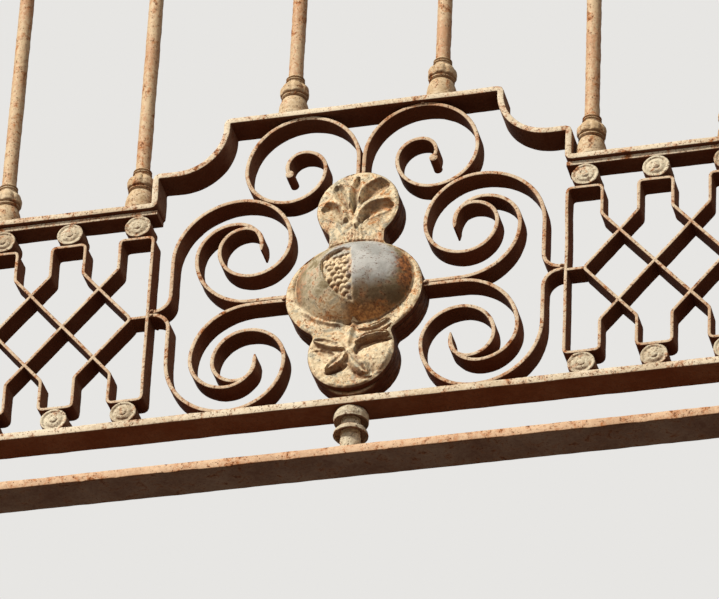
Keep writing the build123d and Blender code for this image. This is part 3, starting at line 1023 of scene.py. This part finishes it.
def make_feet():
    """Cast feet with a spread base, a stem, a hollow flange, a ring and a cup."""
    for side in ("left", "centre", "right"):
        name = f"foot_{side}"
        low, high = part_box(name)
        profile = stepped_profile(FOOT_BASE_RADIUS, FOOT_STEPS)
        profile[:, 1] *= (high.z - low.z) / profile[-1, 1]
        shell = Shell()
        add_turned(shell, profile, CASTING_AROUND, ((low.x + high.x) / 2, 0, low.z))
        finish_piece(f"{name}_casting", shell, [name], "foot_iron", hammered=0.0005, pitted=0.0004)


ROSETTE_WIDENING = 1.09

# Rosette face from its lip to its tip: share of the radius, and depth behind the front
ROSETTE_FACE = (
    (1.000, 0.0030), (0.990, 0.0022), (0.950, 0.0018), (0.870, 0.0018), (0.810, 0.0021),
    (0.770, 0.0027), (0.720, 0.0029), (0.670, 0.0026), (0.600, 0.0019), (0.500, 0.0013),
    (0.400, 0.0010), (0.350, 0.0011), (0.320, 0.0014), (0.290, 0.0012), (0.260, 0.0006),
    (0.200, 0.0002), (0.120, 0.0000), (0.010, 0.0000),
)


def rosette_profile(radius, half):
    """From the tip of the rear boss over the drum to the tip of the front one."""
    face = np.array([(radius * share, half - depth) for share, depth in ROSETTE_FACE])
    wall = evenly_spaced(np.array([(radius, 0), face[0]]), DRUM_WALL_SPACING)
    upper = np.vstack([wall[:-1], evenly_spaced(face, PROFILE_SPACING)])
    return np.vstack([upper[::-1] * (1, -1), upper[1:]])


def make_rosettes():
    """Drums over and under the flats, each slightly out of round in its own way."""
    for side, sign in SIDES:
        for level in ("upper", "lower"):
            name = f"rosettes_{level}_{side}"
            low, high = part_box(name)
            drum = rosette_profile((high.z - low.z) / 2, (high.y - low.y) / 2)
            shell = Shell()
            for count, x in enumerate(flat_stations()):
                phase = 1.7 * count + (0.9 if level == "upper" else 0)
                shape = lambda angle, height: (
                    1 + 0.012 * np.sin(angle * 2 + phase) * smoothstep(0.012, 0.016, height))
                add_turned(shell, drum, ROSETTE_AROUND, (0, 0, 0), axis="y", shape=shape)
                centre = (sign * x, 0, (low.z + high.z) / 2)
                shell.verts[-1] = shell.verts[-1] * (ROSETTE_WIDENING, 1, 1) + centre
            finish_piece(f"{name}_castings", shell, [name], "rosette_iron", hammered=0.00045,
                         pitted=0.0003)


# The medallion

WEDGE_TOP_LEFT = (-0.036, 0.020)
WEDGE_TOP_RIGHT = (0.000, 0.037)
WEDGE_TIP = (0.005, -0.042)
WEDGE_SAGS = (0.008, 0.003, 0.011)
SEED_RADIUS = 0.0041
SEED_PITCH = 0.0080

# Leaf hollows of the crown, from its centre: start, middle, tip, half width, and its rib's side
CROWN_LEAVES = (
    ((-0.0045, -0.0150), (-0.0035, 0.0130), (-0.0005, 0.0435), 0.0062, 0),
    ((0.0042, 0.0005), (0.0185, 0.0195), (0.0385, 0.0285), 0.0098, 1),
    ((0.0063, -0.0273), (0.0181, -0.0100), (0.0445, -0.0035), 0.0086, 1),
    ((-0.0110, -0.0060), (-0.0205, 0.0160), (-0.0285, 0.0330), 0.0072, -1),
    ((-0.0185, -0.0255), (-0.0285, -0.0080), (-0.0450, 0.0015), 0.0092, -1),
)
CROWN_SWELL = 0.0022
CROWN_LEAF_DEPTH = 0.0046
CROWN_RIB_HEIGHT = 0.0042
CROWN_LIP_HEIGHT = 0.0009
CROWN_ROOT = (-0.0015, -0.0320)
ROOT_RIB_ANGLES = (58, 72, 84, 97, 110, 128)
ROOT_RIB_HEIGHT = 0.0017

# Flutes of the neck under the ribs, from the middle, and their ends from the crown's centre
NECK_FLUTES = (-0.0082, -0.0032, 0.0016, 0.0064)
NECK_TOP = -0.031
NECK_FOOT = -0.056

# Raised leaves of the lower disc, from its centre: start, middle, tip, half width, height, and
# the side that overhangs
DISC_LEAVES = (
    ((-0.0070, 0.0020), (-0.0250, 0.0125), (-0.0450, 0.0170), 0.0104, 0.0066, 1),
    ((-0.0050, -0.0030), (-0.0155, -0.0130), (-0.0290, -0.0265), 0.0098, 0.0070, 1),
    ((-0.0005, -0.0050), (0.0080, -0.0190), (0.0220, -0.0355), 0.0096, 0.0062, -1),
    ((0.0050, 0.0085), (0.0250, 0.0190), (0.0490, 0.0170), 0.0064, 0.0078, -1),
    ((0.0080, 0.0290), (0.0260, 0.0320), (0.0450, 0.0415), 0.0046, 0.0036, -1),
)
# Its hollows: start, middle, tip, half width, depth
DISC_HOLLOWS = (
    ((0.0070, -0.0060), (0.0160, 0.0070), (0.0500, 0.0100), 0.0058, 0.0052),
    ((0.0300, 0.0230), (0.0390, 0.0255), (0.0480, 0.0330), 0.0030, 0.0050),
    ((-0.0440, 0.0050), (-0.0310, -0.0010), (-0.0200, -0.0030), 0.0046, 0.0020),
    ((-0.0030, -0.0190), (-0.0150, -0.0262), (-0.0300, -0.0300), 0.0036, 0.0034),
    ((0.0040, -0.0300), (0.0150, -0.0400), (0.0280, -0.0400), 0.0030, 0.0024),
)
DISC_GATHER = (-0.0043, -0.0015)
GATHER_HEIGHT = 0.0022
CHEEK_HEIGHT = 0.0050
STEM_HEIGHT = 0.0040


def node_outline(name):
    """The outline of a node's flat back, read from the frame and ordered into a loop of (x, z)."""
    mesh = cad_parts[name].data
    co = np.array([v.co for v in mesh.vertices])
    mesh.calc_loop_triangles()
    rounded = np.round(co[:, (0, 2)] * 1e6).astype(np.int64)
    flat = np.abs(co[:, 1]) < 1e-6
    used = {}
    for triangle in mesh.loop_triangles:
        if all(flat[v] for v in triangle.vertices):
            keys = [tuple(rounded[v]) for v in triangle.vertices]
            for a, b in zip(keys, keys[1:] + keys[:1]):
                if (b, a) in used:
                    del used[(b, a)]
                else:
                    used[(a, b)] = True
    following = {a: b for a, b in used}
    start = next(iter(following))
    loop = [start]
    while following[loop[-1]] != start:
        loop.append(following[loop[-1]])
    return np.array(loop) / 1e6


def bowed(start, end, sag):
    """A bowed line from start to end that swells to its left by sag."""
    start = np.array(start)
    chord = np.array(end) - start
    left = np.array([-chord[1], chord[0]]) / np.linalg.norm(chord)
    t = np.linspace(0, 1, 16, endpoint=False)[:, None]
    return start + chord * t + left * sag * 4 * t * (1 - t)


def wedge_outline():
    """The opening in the fruit: three bowed sides that meet in a point below."""
    corners = (WEDGE_TOP_LEFT, WEDGE_TOP_RIGHT, WEDGE_TIP, WEDGE_TOP_LEFT)
    return np.vstack([bowed(*side) for side in zip(corners, corners[1:], WEDGE_SAGS)])


def dome_height(x, z):
    """A barrel's front over the casting's face, wider than it is high. Below 0 beside it."""
    axis = (DOME_HALF_WIDTH ** 2 - DOME_BULGE ** 2) / (2 * DOME_BULGE)
    radius = (DOME_HALF_HEIGHT ** 2 + DOME_BULGE ** 2) / (2 * DOME_BULGE)
    rise = np.sqrt(np.maximum(radius ** 2 - z ** 2, 0)) - (radius - DOME_BULGE)
    return np.sqrt(np.maximum((axis + rise) ** 2 - x ** 2, 0)) - axis


def curve_place(x, z, start, middle, tip):
    """Share along a curve through three points, and distance from it, above 0 on its left."""
    start, middle, tip = (np.array(p) for p in (start, middle, tip))
    handle = 2 * middle - (start + tip) / 2
    t = np.linspace(0, 1, 40)[:, None]
    line = (1 - t) ** 2 * start + 2 * t * (1 - t) * handle + t ** 2 * tip
    best = np.full(len(x), 1e9)
    share = np.zeros(len(x))
    aside = np.zeros(len(x))
    for k, run in enumerate(np.diff(line, axis=0)):
        dx = x - line[k, 0]
        dz = z - line[k, 1]
        along = np.clip((dx * run[0] + dz * run[1]) / np.linalg.norm(run) ** 2, 0, 1)
        gap = np.hypot(dx - along * run[0], dz - along * run[1])
        nearer = gap < best
        best = np.where(nearer, gap, best)
        share = np.where(nearer, (k + along) / (len(line) - 1), share)
        aside = np.where(nearer, gap * np.sign(run[0] * dz - run[1] * dx), aside)
    return share, aside


def spoon(share, width, widest):
    """Half width along a leaf that is pointed at its start and blunt at its tip."""
    opening = np.sin(math.pi / 2 * np.clip(share / widest, 0, 1)) ** 0.8
    closing = 1 - np.clip((share - widest) / (1 - widest), 0, 1) ** 2.4
    return np.maximum(width * opening * np.sqrt(np.maximum(closing, 0)), 1e-5)


def crown_relief(x, z, crown_level):
    """Five leaf hollows between raised ribs that gather at the neck, and flutes below them."""
    up = z - crown_level
    height = CROWN_SWELL * np.maximum(1 - (np.hypot(x, up - 0.004) / 0.044) ** 2, 0)
    hollow = np.zeros_like(x)
    for start, middle, tip, width, rib_side in CROWN_LEAVES:
        share, aside = curve_place(x, up, start, middle, tip)
        half = spoon(share, width, 0.62)
        inside = 1 - smoothstep(0.15, 1.05, np.abs(aside) / half)
        height -= CROWN_LEAF_DEPTH * inside
        hollow = np.maximum(hollow, inside)
        window = smoothstep(0.0, 0.12, share) * (1 - smoothstep(0.90, 1.0, share))
        if rib_side:
            height += CROWN_RIB_HEIGHT * bell(aside * rib_side - half - 0.0030, 0.0034) * window
        height += CROWN_LIP_HEIGHT * bell(np.abs(aside) - half - 0.0012, 0.0014) * window
    return height + root_relief(x, up), hollow


def root_relief(x, up):
    """The ribs where they gather at the crown's root, and the flutes of the neck."""
    height = np.zeros_like(x)
    dx = x - CROWN_ROOT[0]
    dz = up - CROWN_ROOT[1]
    for angle in ROOT_RIB_ANGLES:
        a = math.radians(angle)
        along = dx * math.cos(a) + dz * math.sin(a)
        aside = -dx * math.sin(a) + dz * math.cos(a)
        run = smoothstep(-0.003, 0.004, along) * (1 - smoothstep(0.014, 0.030, along))
        height += ROOT_RIB_HEIGHT * bell(aside, 0.0012) * run
    below = smoothstep(NECK_TOP + 0.004, NECK_TOP - 0.006, up)
    below = below * smoothstep(NECK_FOOT, NECK_FOOT + 0.006, up)
    spread = 0.75 + 0.35 * smoothstep(NECK_TOP, NECK_FOOT, up)
    for flute in NECK_FLUTES:
        height += ROOT_RIB_HEIGHT * bell(x - flute * spread, 0.0015) * below
    return height


def disc_relief(x, z, disc_level):
    """Curled leaves round a gathered middle, the right-hand one turned up over a deep hollow."""
    up = z - disc_level
    cheek = np.hypot((x - 0.031) / 0.019, (up + 0.014) / 0.020)
    height = CHEEK_HEIGHT * np.maximum(1 - cheek ** 2, 0) ** 0.8
    hollow = np.zeros_like(x)
    for start, middle, tip, width, depth in DISC_HOLLOWS:
        share, aside = curve_place(x, up, start, middle, tip)
        inside = 1 - smoothstep(0.40, 1.05, np.abs(aside) / spoon(share, width, 0.35))
        height -= depth * inside
        hollow = np.maximum(hollow, inside)
    for start, middle, tip, width, rise, over in DISC_LEAVES:
        share, aside = curve_place(x, up, start, middle, tip)
        across = aside / spoon(share, width, 0.55)
        body = 1 - smoothstep(0.40, 1.05, np.abs(across))
        tilt = 0.75 + 0.25 * np.clip(across * over, -1, 1)
        middle_line = across + 0.05 * over
        leaf = rise * body * (tilt - 0.30 * bell(middle_line, 0.20))
        leaf += 0.0006 * body * np.cos(across * 8 + share * 3)
        height = np.where(body > 0.02, np.maximum(height, 0) + leaf, height)
        hollow = np.maximum(hollow * (1 - body), 0.35 * body * bell(middle_line, 0.12))
        # Painted shadow: the lower side of each leaf is marked as a hollow, so it is painted brown
        # as if in the leaf's shade.
        lee_shadow = bell(across * over - 0.95, 0.30)
        lee_shadow = lee_shadow * smoothstep(0.0, 0.15, share) * smoothstep(1.0, 0.93, share)
        hollow = np.maximum(hollow, 0.95 * lee_shadow)
    centre = np.hypot(x - DISC_GATHER[0], up - DISC_GATHER[1])
    return height + GATHER_HEIGHT * bell(centre, 0.0055), hollow


def seed_centres(wedge):
    """A close pattern of seeds inside the opening, a little disturbed."""
    low = wedge.min(0)
    high = wedge.max(0)
    rise = SEED_PITCH * ROW_SHARE
    rows = int((high[1] - low[1]) / rise) + 1
    columns = int((high[0] - low[0]) / SEED_PITCH) + 2
    places = np.array([(low[0] + (column + 0.5 * (row % 2)) * SEED_PITCH, low[1] + row * rise, 0.0)
                       for row, column in itertools.product(range(rows), range(columns))])
    jog = np.stack([lumps(places, 0.004, 71), lumps(places, 0.004, 72)], 1) * 0.0020
    places = places[:, :2] + jog
    return places[signed_distance(places, wedge) < -SEED_RADIUS * 0.75]


def opened_fruit(x, up, wedge):
    """The fruit's skin with its opening, the seeds inside it and a cleft below it."""
    flat3 = np.stack([x, np.zeros_like(x), up], 1)
    cleft = bell(x - 0.004, 0.0055) * smoothstep(-0.040, -0.054, up)
    skin = dome_height(x, up) - 0.0060 * cleft
    dented = (1 - smoothstep(-0.02, 0.02, x)) * smoothstep(0, 0.004, skin)
    skin += 0.0007 * lumps(flat3, 0.010, 53) * dented
    deep = smoothstep(0.006, -0.016, x)
    wander = 0.0011 * lumps(flat3, 0.0045, 55) + 0.0018 * (1 - deep) * lumps(flat3, 0.010, 56)
    into = wander - signed_distance(np.stack([x, up], 1), wedge)
    cut = smoothstep(-0.0006, 0.0012 + 0.0040 * (1 - deep), into)
    floor = skin - 0.0024 - 0.0032 * deep
    edge = 0.0012 * bell(into + 0.0018, 0.0014) * deep
    height = (skin + edge) * (1 - cut) + floor * cut
    seeds = np.zeros_like(x)
    for count, centre in enumerate(seed_centres(wedge)):
        radius = SEED_RADIUS * (0.82 + 0.34 * ((count * 0.618) % 1))
        gap = np.hypot(x - centre[0], up - centre[1])
        ball = np.sqrt(np.maximum(radius ** 2 - gap ** 2, 0))
        on_seed = (gap < radius) & (into > 0)
        lifted = floor + ball * (0.72 + 0.28 * deep) - 0.0010 * ((count * 0.37) % 1)
        height = np.where(on_seed, np.maximum(height, lifted), height)
        seeds = np.maximum(seeds, np.where(on_seed, smoothstep(0, 0.6, ball / radius), 0))
    return height, cut, np.maximum(seeds, 0.15 * cut)


def plate_relief(points, outline, disc_level, crown_level):
    """The plate's uneven face with its rim, crown, lower disc and the stem between, and how far
    each point is in a hollow, with the painted shadows beside the lower disc's leaves counted as
    hollows."""
    x, z = points.T
    inset = -signed_distance(points, outline)
    flat3 = np.insert(points, 1, 0, axis=1)
    height = 0.0009 * lumps(flat3, 0.014, 51) + 0.0006 * lumps(flat3, 0.006, 52)
    height += 0.0004 * lumps(flat3, 0.003, 54)
    height += 0.0009 * bell(inset - 0.0045, 0.003)
    height -= 0.0016 * (1 - smoothstep(0.0, 0.0028, inset))

    guard = smoothstep(0.0016, 0.0052, inset)
    over_disc = z - disc_level
    crown_height, crown_hollow = crown_relief(x, z, crown_level)
    on_crown = smoothstep(-0.058, -0.050, z - crown_level)
    disc_height, disc_hollow_and_lee_shadow = disc_relief(x, z, disc_level)
    on_disc = 1 - smoothstep(0.040, 0.048, over_disc)
    height += guard * (crown_height * on_crown + disc_height * on_disc)

    stem_x = 0.002 - 0.004 * smoothstep(0.045, 0.015, over_disc)
    stem = bell(x - stem_x, 0.0030) * smoothstep(0.004, 0.014, over_disc)
    height += STEM_HEIGHT * stem * (1 - smoothstep(0.046, 0.054, over_disc))
    return height, np.maximum(crown_hollow * on_crown, disc_hollow_and_lee_shadow * on_disc)


def medallion_relief(points, outline):
    """Height of the front over the casting's face at 2D points, and what each point is part of."""
    crown_level = outline.max(0)[1] - CROWN_RADIUS
    height, hollow = plate_relief(points, outline, outline.min(0)[1] + LOWER_DISC_RADIUS,
                                  crown_level)
    x = points[:, 0]
    up = points[:, 1] - (crown_level - CROWN_RADIUS - FRUIT_HALF_HEIGHT) - DOME_LIFT
    fruit, cut, seeds = opened_fruit(x, up, wedge_outline())
    base = dome_height(x, up)
    skin = smoothstep(-0.0006, 0.0012, fruit - height)
    run_out = smoothstep(0.0, -0.020, x) * smoothstep(-0.018, -0.040, up)
    height = height - 0.0022 * bell(base, 0.0024) * (1 - skin) * (1 - run_out)
    height = height + 0.0030 * bell(base, 0.0040) * run_out
    # The hollow mark holds the hollows and the painted shadows beside the lower disc's leaves.
    marks = {"skin": skin * (1 - cut), "seeds": seeds * skin, "hollow": hollow * (1 - skin)}
    return np.minimum(np.maximum(fruit, height), RELIEF_LIMIT), marks


def offset_inwards(outline, distance):
    """The outline moved inwards. It runs anticlockwise."""
    tangent = np.roll(outline, -1, axis=0) - np.roll(outline, 1, axis=0)
    tangent /= np.linalg.norm(tangent, axis=1)[:, None]
    return outline + np.stack([-tangent[:, 1], tangent[:, 0]], 1) * distance


# The castings' edge from the front to the seam: how far it is set in, and distance to the seam
EDGE_RINGS = (
    (0.0010, 0.0176), (0.0003, 0.0170), (0.0, 0.0160), (0.0, 0.0112), (0.0006, 0.0104),
    (0.0018, 0.0100), (0.0030, 0.0096), (0.0030, 0.0088), (0.0016, 0.0084), (0.0004, 0.0082),
    (0.0, 0.0076), (0.0, 0.0050), (0.0, 0.0025), (0.0002, 0.0004),
)
FACE_INSET = 0.0018

# The second plate's front edge, from where its edge is kept pale as a painted highlight to where
# it begins, and its drop
SECOND_PLATE_PAINTED_LIT = 0.0076
SECOND_PLATE = 0.0084
SECOND_PLATE_DROP = 0.0034


def medallion_outline():
    """The castings' outline, anticlockwise."""
    outline = evenly_spaced(node_outline("medallion_front"), OUTLINE_SPACING, closed=True)
    after = np.roll(outline, -1, axis=0)
    doubled_area = np.sum(outline[:, 0] * after[:, 1] - after[:, 0] * outline[:, 1])
    return outline[::-1] if doubled_area < 0 else outline


def front_face(outline):
    """Points and triangles of the relief, with its rim first, and what the points are part of."""
    low = outline.min(0)
    high = outline.max(0)
    rim = offset_inwards(outline, FACE_INSET)
    rows = np.arange(low[1], high[1], RELIEF_STEP * ROW_SHARE)
    columns = np.arange(low[0], high[0], RELIEF_STEP)
    grid = np.array([(x + (0.5 * RELIEF_STEP if k % 2 else 0), z)
                     for k, z in enumerate(rows) for x in columns])
    grid = grid[signed_distance(grid, rim) < -0.6 * RELIEF_STEP]
    ring = len(rim)
    edges = [(k, (k + 1) % ring) for k in range(ring)]
    points = [Vector(p) for p in np.vstack([rim, grid])]
    flat, _, triangles, _, _, _ = geometry.delaunay_2d_cdt(points, edges, [], 1, 1e-7)
    flat = np.array([tuple(p) for p in flat])
    heights, marks = medallion_relief(flat, outline)
    face = np.stack([flat[:, 0], -(CASTING_DEPTH + heights), flat[:, 1]], 1)
    return face, [list(t) for t in triangles], marks


def edge_faces(ring, count, start):
    """Quads from the rim, the first ring of points, over count rings from start on, and the
    flat back."""
    firsts = [0] + [start + ring * k for k in range(count)]
    faces = [[a + k, b + k, b + (k + 1) % ring, a + (k + 1) % ring]
             for a, b in zip(firsts, firsts[1:]) for k in range(ring)]
    return faces + [list(range(firsts[-1] + ring - 1, firsts[-1] - 1, -1))]


def make_medallion():
    """Both castings from one relief: the front as photographed, the back its mirror image. The
    second plate of each hangs a little below the first."""
    outline = medallion_outline()
    ring = len(outline)
    face, faces, marks = front_face(outline)
    start = len(face)
    rings = [np.insert(offset_inwards(outline, inset), 1, -y, axis=1) for inset, y in EDGE_RINGS]
    faces += edge_faces(ring, len(rings), start)
    verts = np.vstack([face] + rings)
    levels = np.repeat([y for _, y in EDGE_RINGS], ring)
    near_ground = smoothstep(0.012, 0.0, outline[:, 1] - outline.min(0)[1])
    near_ground = np.tile(near_ground, len(rings))
    verts[start:, 2] -= SECOND_PLATE_DROP * (levels <= SECOND_PLATE) * near_ground

    marks = {key: np.pad(values, (0, len(levels))) for key, values in marks.items()}
    # Painted highlight: the lower crescent of the second plate's edge is left out of the dark
    # sides mark, so it stays pale in the front plate's shadow.
    painted_lit = (levels >= SECOND_PLATE_PAINTED_LIT) & (levels <= SECOND_PLATE)
    marks["sides"] = (np.arange(len(verts)) >= start + ring).astype(float)
    marks["sides"][start:] -= painted_lit * near_ground
    for name, flip in (("medallion_front", 1), ("medallion_back", -1)):
        shell = Shell()
        shell.add(verts * (1, flip, 1), faces)
        finish_piece(f"{name}_casting", shell, [name], "medallion_iron", hammered=0.00022,
                     pitted=0.00012, marks=marks)


# Stage

CAMERA_TARGET = Vector((0.0025, 0.0, 0.2355))
CAMERA_DISTANCE = 6.2916
CAMERA_AZIMUTH = 15.94
CAMERA_ELEVATION = -35.16
CAMERA_ROLL = 2.90
FOCAL_PIXELS = 5300.3
IMAGE_WIDTH = 719
SENSOR_WIDTH = 36.0

PALE = rgb(0.80, 0.79, 0.77)
FLOOR_REFLECTION = rgb(0.20, 0.16, 0.13)
SKY_LIGHT = rgb(0.22, 0.21, 0.20)
FLOOR_REACH = 14
SLOT_INSET = 0.001

# Name, place, diameter, power and colour of each lamp, and what they are aimed at
LAMPS = (
    ("key", (-17.0, -22.0, 22.6), 5.5, 16000, (1.0, 0.93, 0.82)),
    ("fill", (0.5, -6.5, 1.2), 3.0, 50, (1.0, 0.97, 0.93)),
    ("back", (-3.5, 5.0, 3.5), 3.0, 60, (1.0, 0.97, 0.93)),
)
LAMP_TARGET = (0, 0, 0.35)


def make_camera():
    """The photograph's camera, below the railing and to the right of its middle."""
    azimuth, elevation, roll = (math.radians(a)
                                for a in (CAMERA_AZIMUTH, CAMERA_ELEVATION, CAMERA_ROLL))
    back = Vector((math.sin(azimuth) * math.cos(elevation),
                   -math.cos(azimuth) * math.cos(elevation), math.sin(elevation)))
    right = (-back).cross(Vector((0, 0, 1))).normalized()
    up = right.cross(-back)
    turned_right = math.cos(roll) * right + math.sin(roll) * up
    turned_up = -math.sin(roll) * right + math.cos(roll) * up
    data = bpy.data.cameras.new("camera")
    data.sensor_width = SENSOR_WIDTH
    data.lens = FOCAL_PIXELS * SENSOR_WIDTH / IMAGE_WIDTH
    data.clip_end = 100
    camera = bpy.data.objects.new("camera", data)
    bpy.context.scene.collection.objects.link(camera)
    place = Matrix((turned_right, turned_up, back)).transposed().to_4x4()
    place.translation = CAMERA_TARGET + back * CAMERA_DISTANCE
    camera.matrix_world = place
    bpy.context.scene.camera = camera


def make_light(name, place, size, power, colour):
    data = bpy.data.lights.new(name, "AREA")
    data.shape = "DISK"
    data.size = size
    data.energy = power
    data.color = colour
    lamp = bpy.data.objects.new(name, data)
    bpy.context.scene.collection.objects.link(lamp)
    lamp.location = place
    lamp.rotation_mode = "QUATERNION"
    lamp.rotation_quaternion = (Vector(place) - Vector(LAMP_TARGET)).to_track_quat("Z", "Y")


def seen_directly(tree):
    """1 for camera and transmission rays, which are to see the pale stage."""
    camera, transmission = (value(tree, "ShaderNodeLightPath", f"Is {kind} Ray")
                            for kind in ("Camera", "Transmission"))
    return camera.most(transmission)


def floor_material():
    """Pale from above. From below the camera looks up through it, as the photograph does."""
    material = bpy.data.materials.new("floor")
    tree = cleared_tree(material)
    colour = mixed(seen_directly(tree), FLOOR_REFLECTION, PALE)
    surface = value(tree, "ShaderNodeBsdfDiffuse", 0, {"Color": colour})
    clear = value(tree, "ShaderNodeBsdfTransparent", 0)
    behind = value(tree, "ShaderNodeNewGeometry", "Backfacing")
    shader = value(tree, "ShaderNodeMixShader", 0, {0: behind, 1: surface, 2: clear})
    node(tree, "ShaderNodeOutputMaterial", {0: shader})
    return material


def make_floor():
    """A floor with a slot under the base bar, so that light reaches the bar's underside."""
    low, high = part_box("base_bar")
    outer = ((-FLOOR_REACH, FLOOR_REACH),) * 2
    inner = ((low.x + SLOT_INSET, high.x - SLOT_INSET), (low.y + SLOT_INSET, high.y - SLOT_INSET))
    corners = [(x[a], y[b], 0) for x, y in (outer, inner)
               for a, b in ((0, 0), (1, 0), (1, 1), (0, 1))]
    mesh = bpy.data.meshes.new("floor")
    mesh.from_pydata(corners, [], [(k, (k + 1) % 4, 4 + (k + 1) % 4, 4 + k) for k in range(4)])
    mesh.materials.append(floor_material())
    floor = bpy.data.objects.new("floor", mesh)
    bpy.context.scene.collection.objects.link(floor)


def make_world():
    world = bpy.data.worlds.new("world")
    bpy.context.scene.world = world
    tree = cleared_tree(world)
    colour = mixed(seen_directly(tree), SKY_LIGHT, PALE)
    background = value(tree, "ShaderNodeBackground", 0, {"Color": colour, "Strength": 1.0})
    node(tree, "ShaderNodeOutputWorld", {0: background})


def make_stage():
    make_camera()
    make_world()
    make_floor()
    for lamp in LAMPS:
        make_light(*lamp)
    bpy.context.scene.view_settings.view_transform = "Standard"


make_bars()
make_handrail()
make_end_posts()
make_step_rail()
make_lattices()
make_scrolls()
make_top_scrolls()
make_welds()
make_balusters()
make_collars()
make_feet()
make_rosettes()
make_medallion()
make_stage()
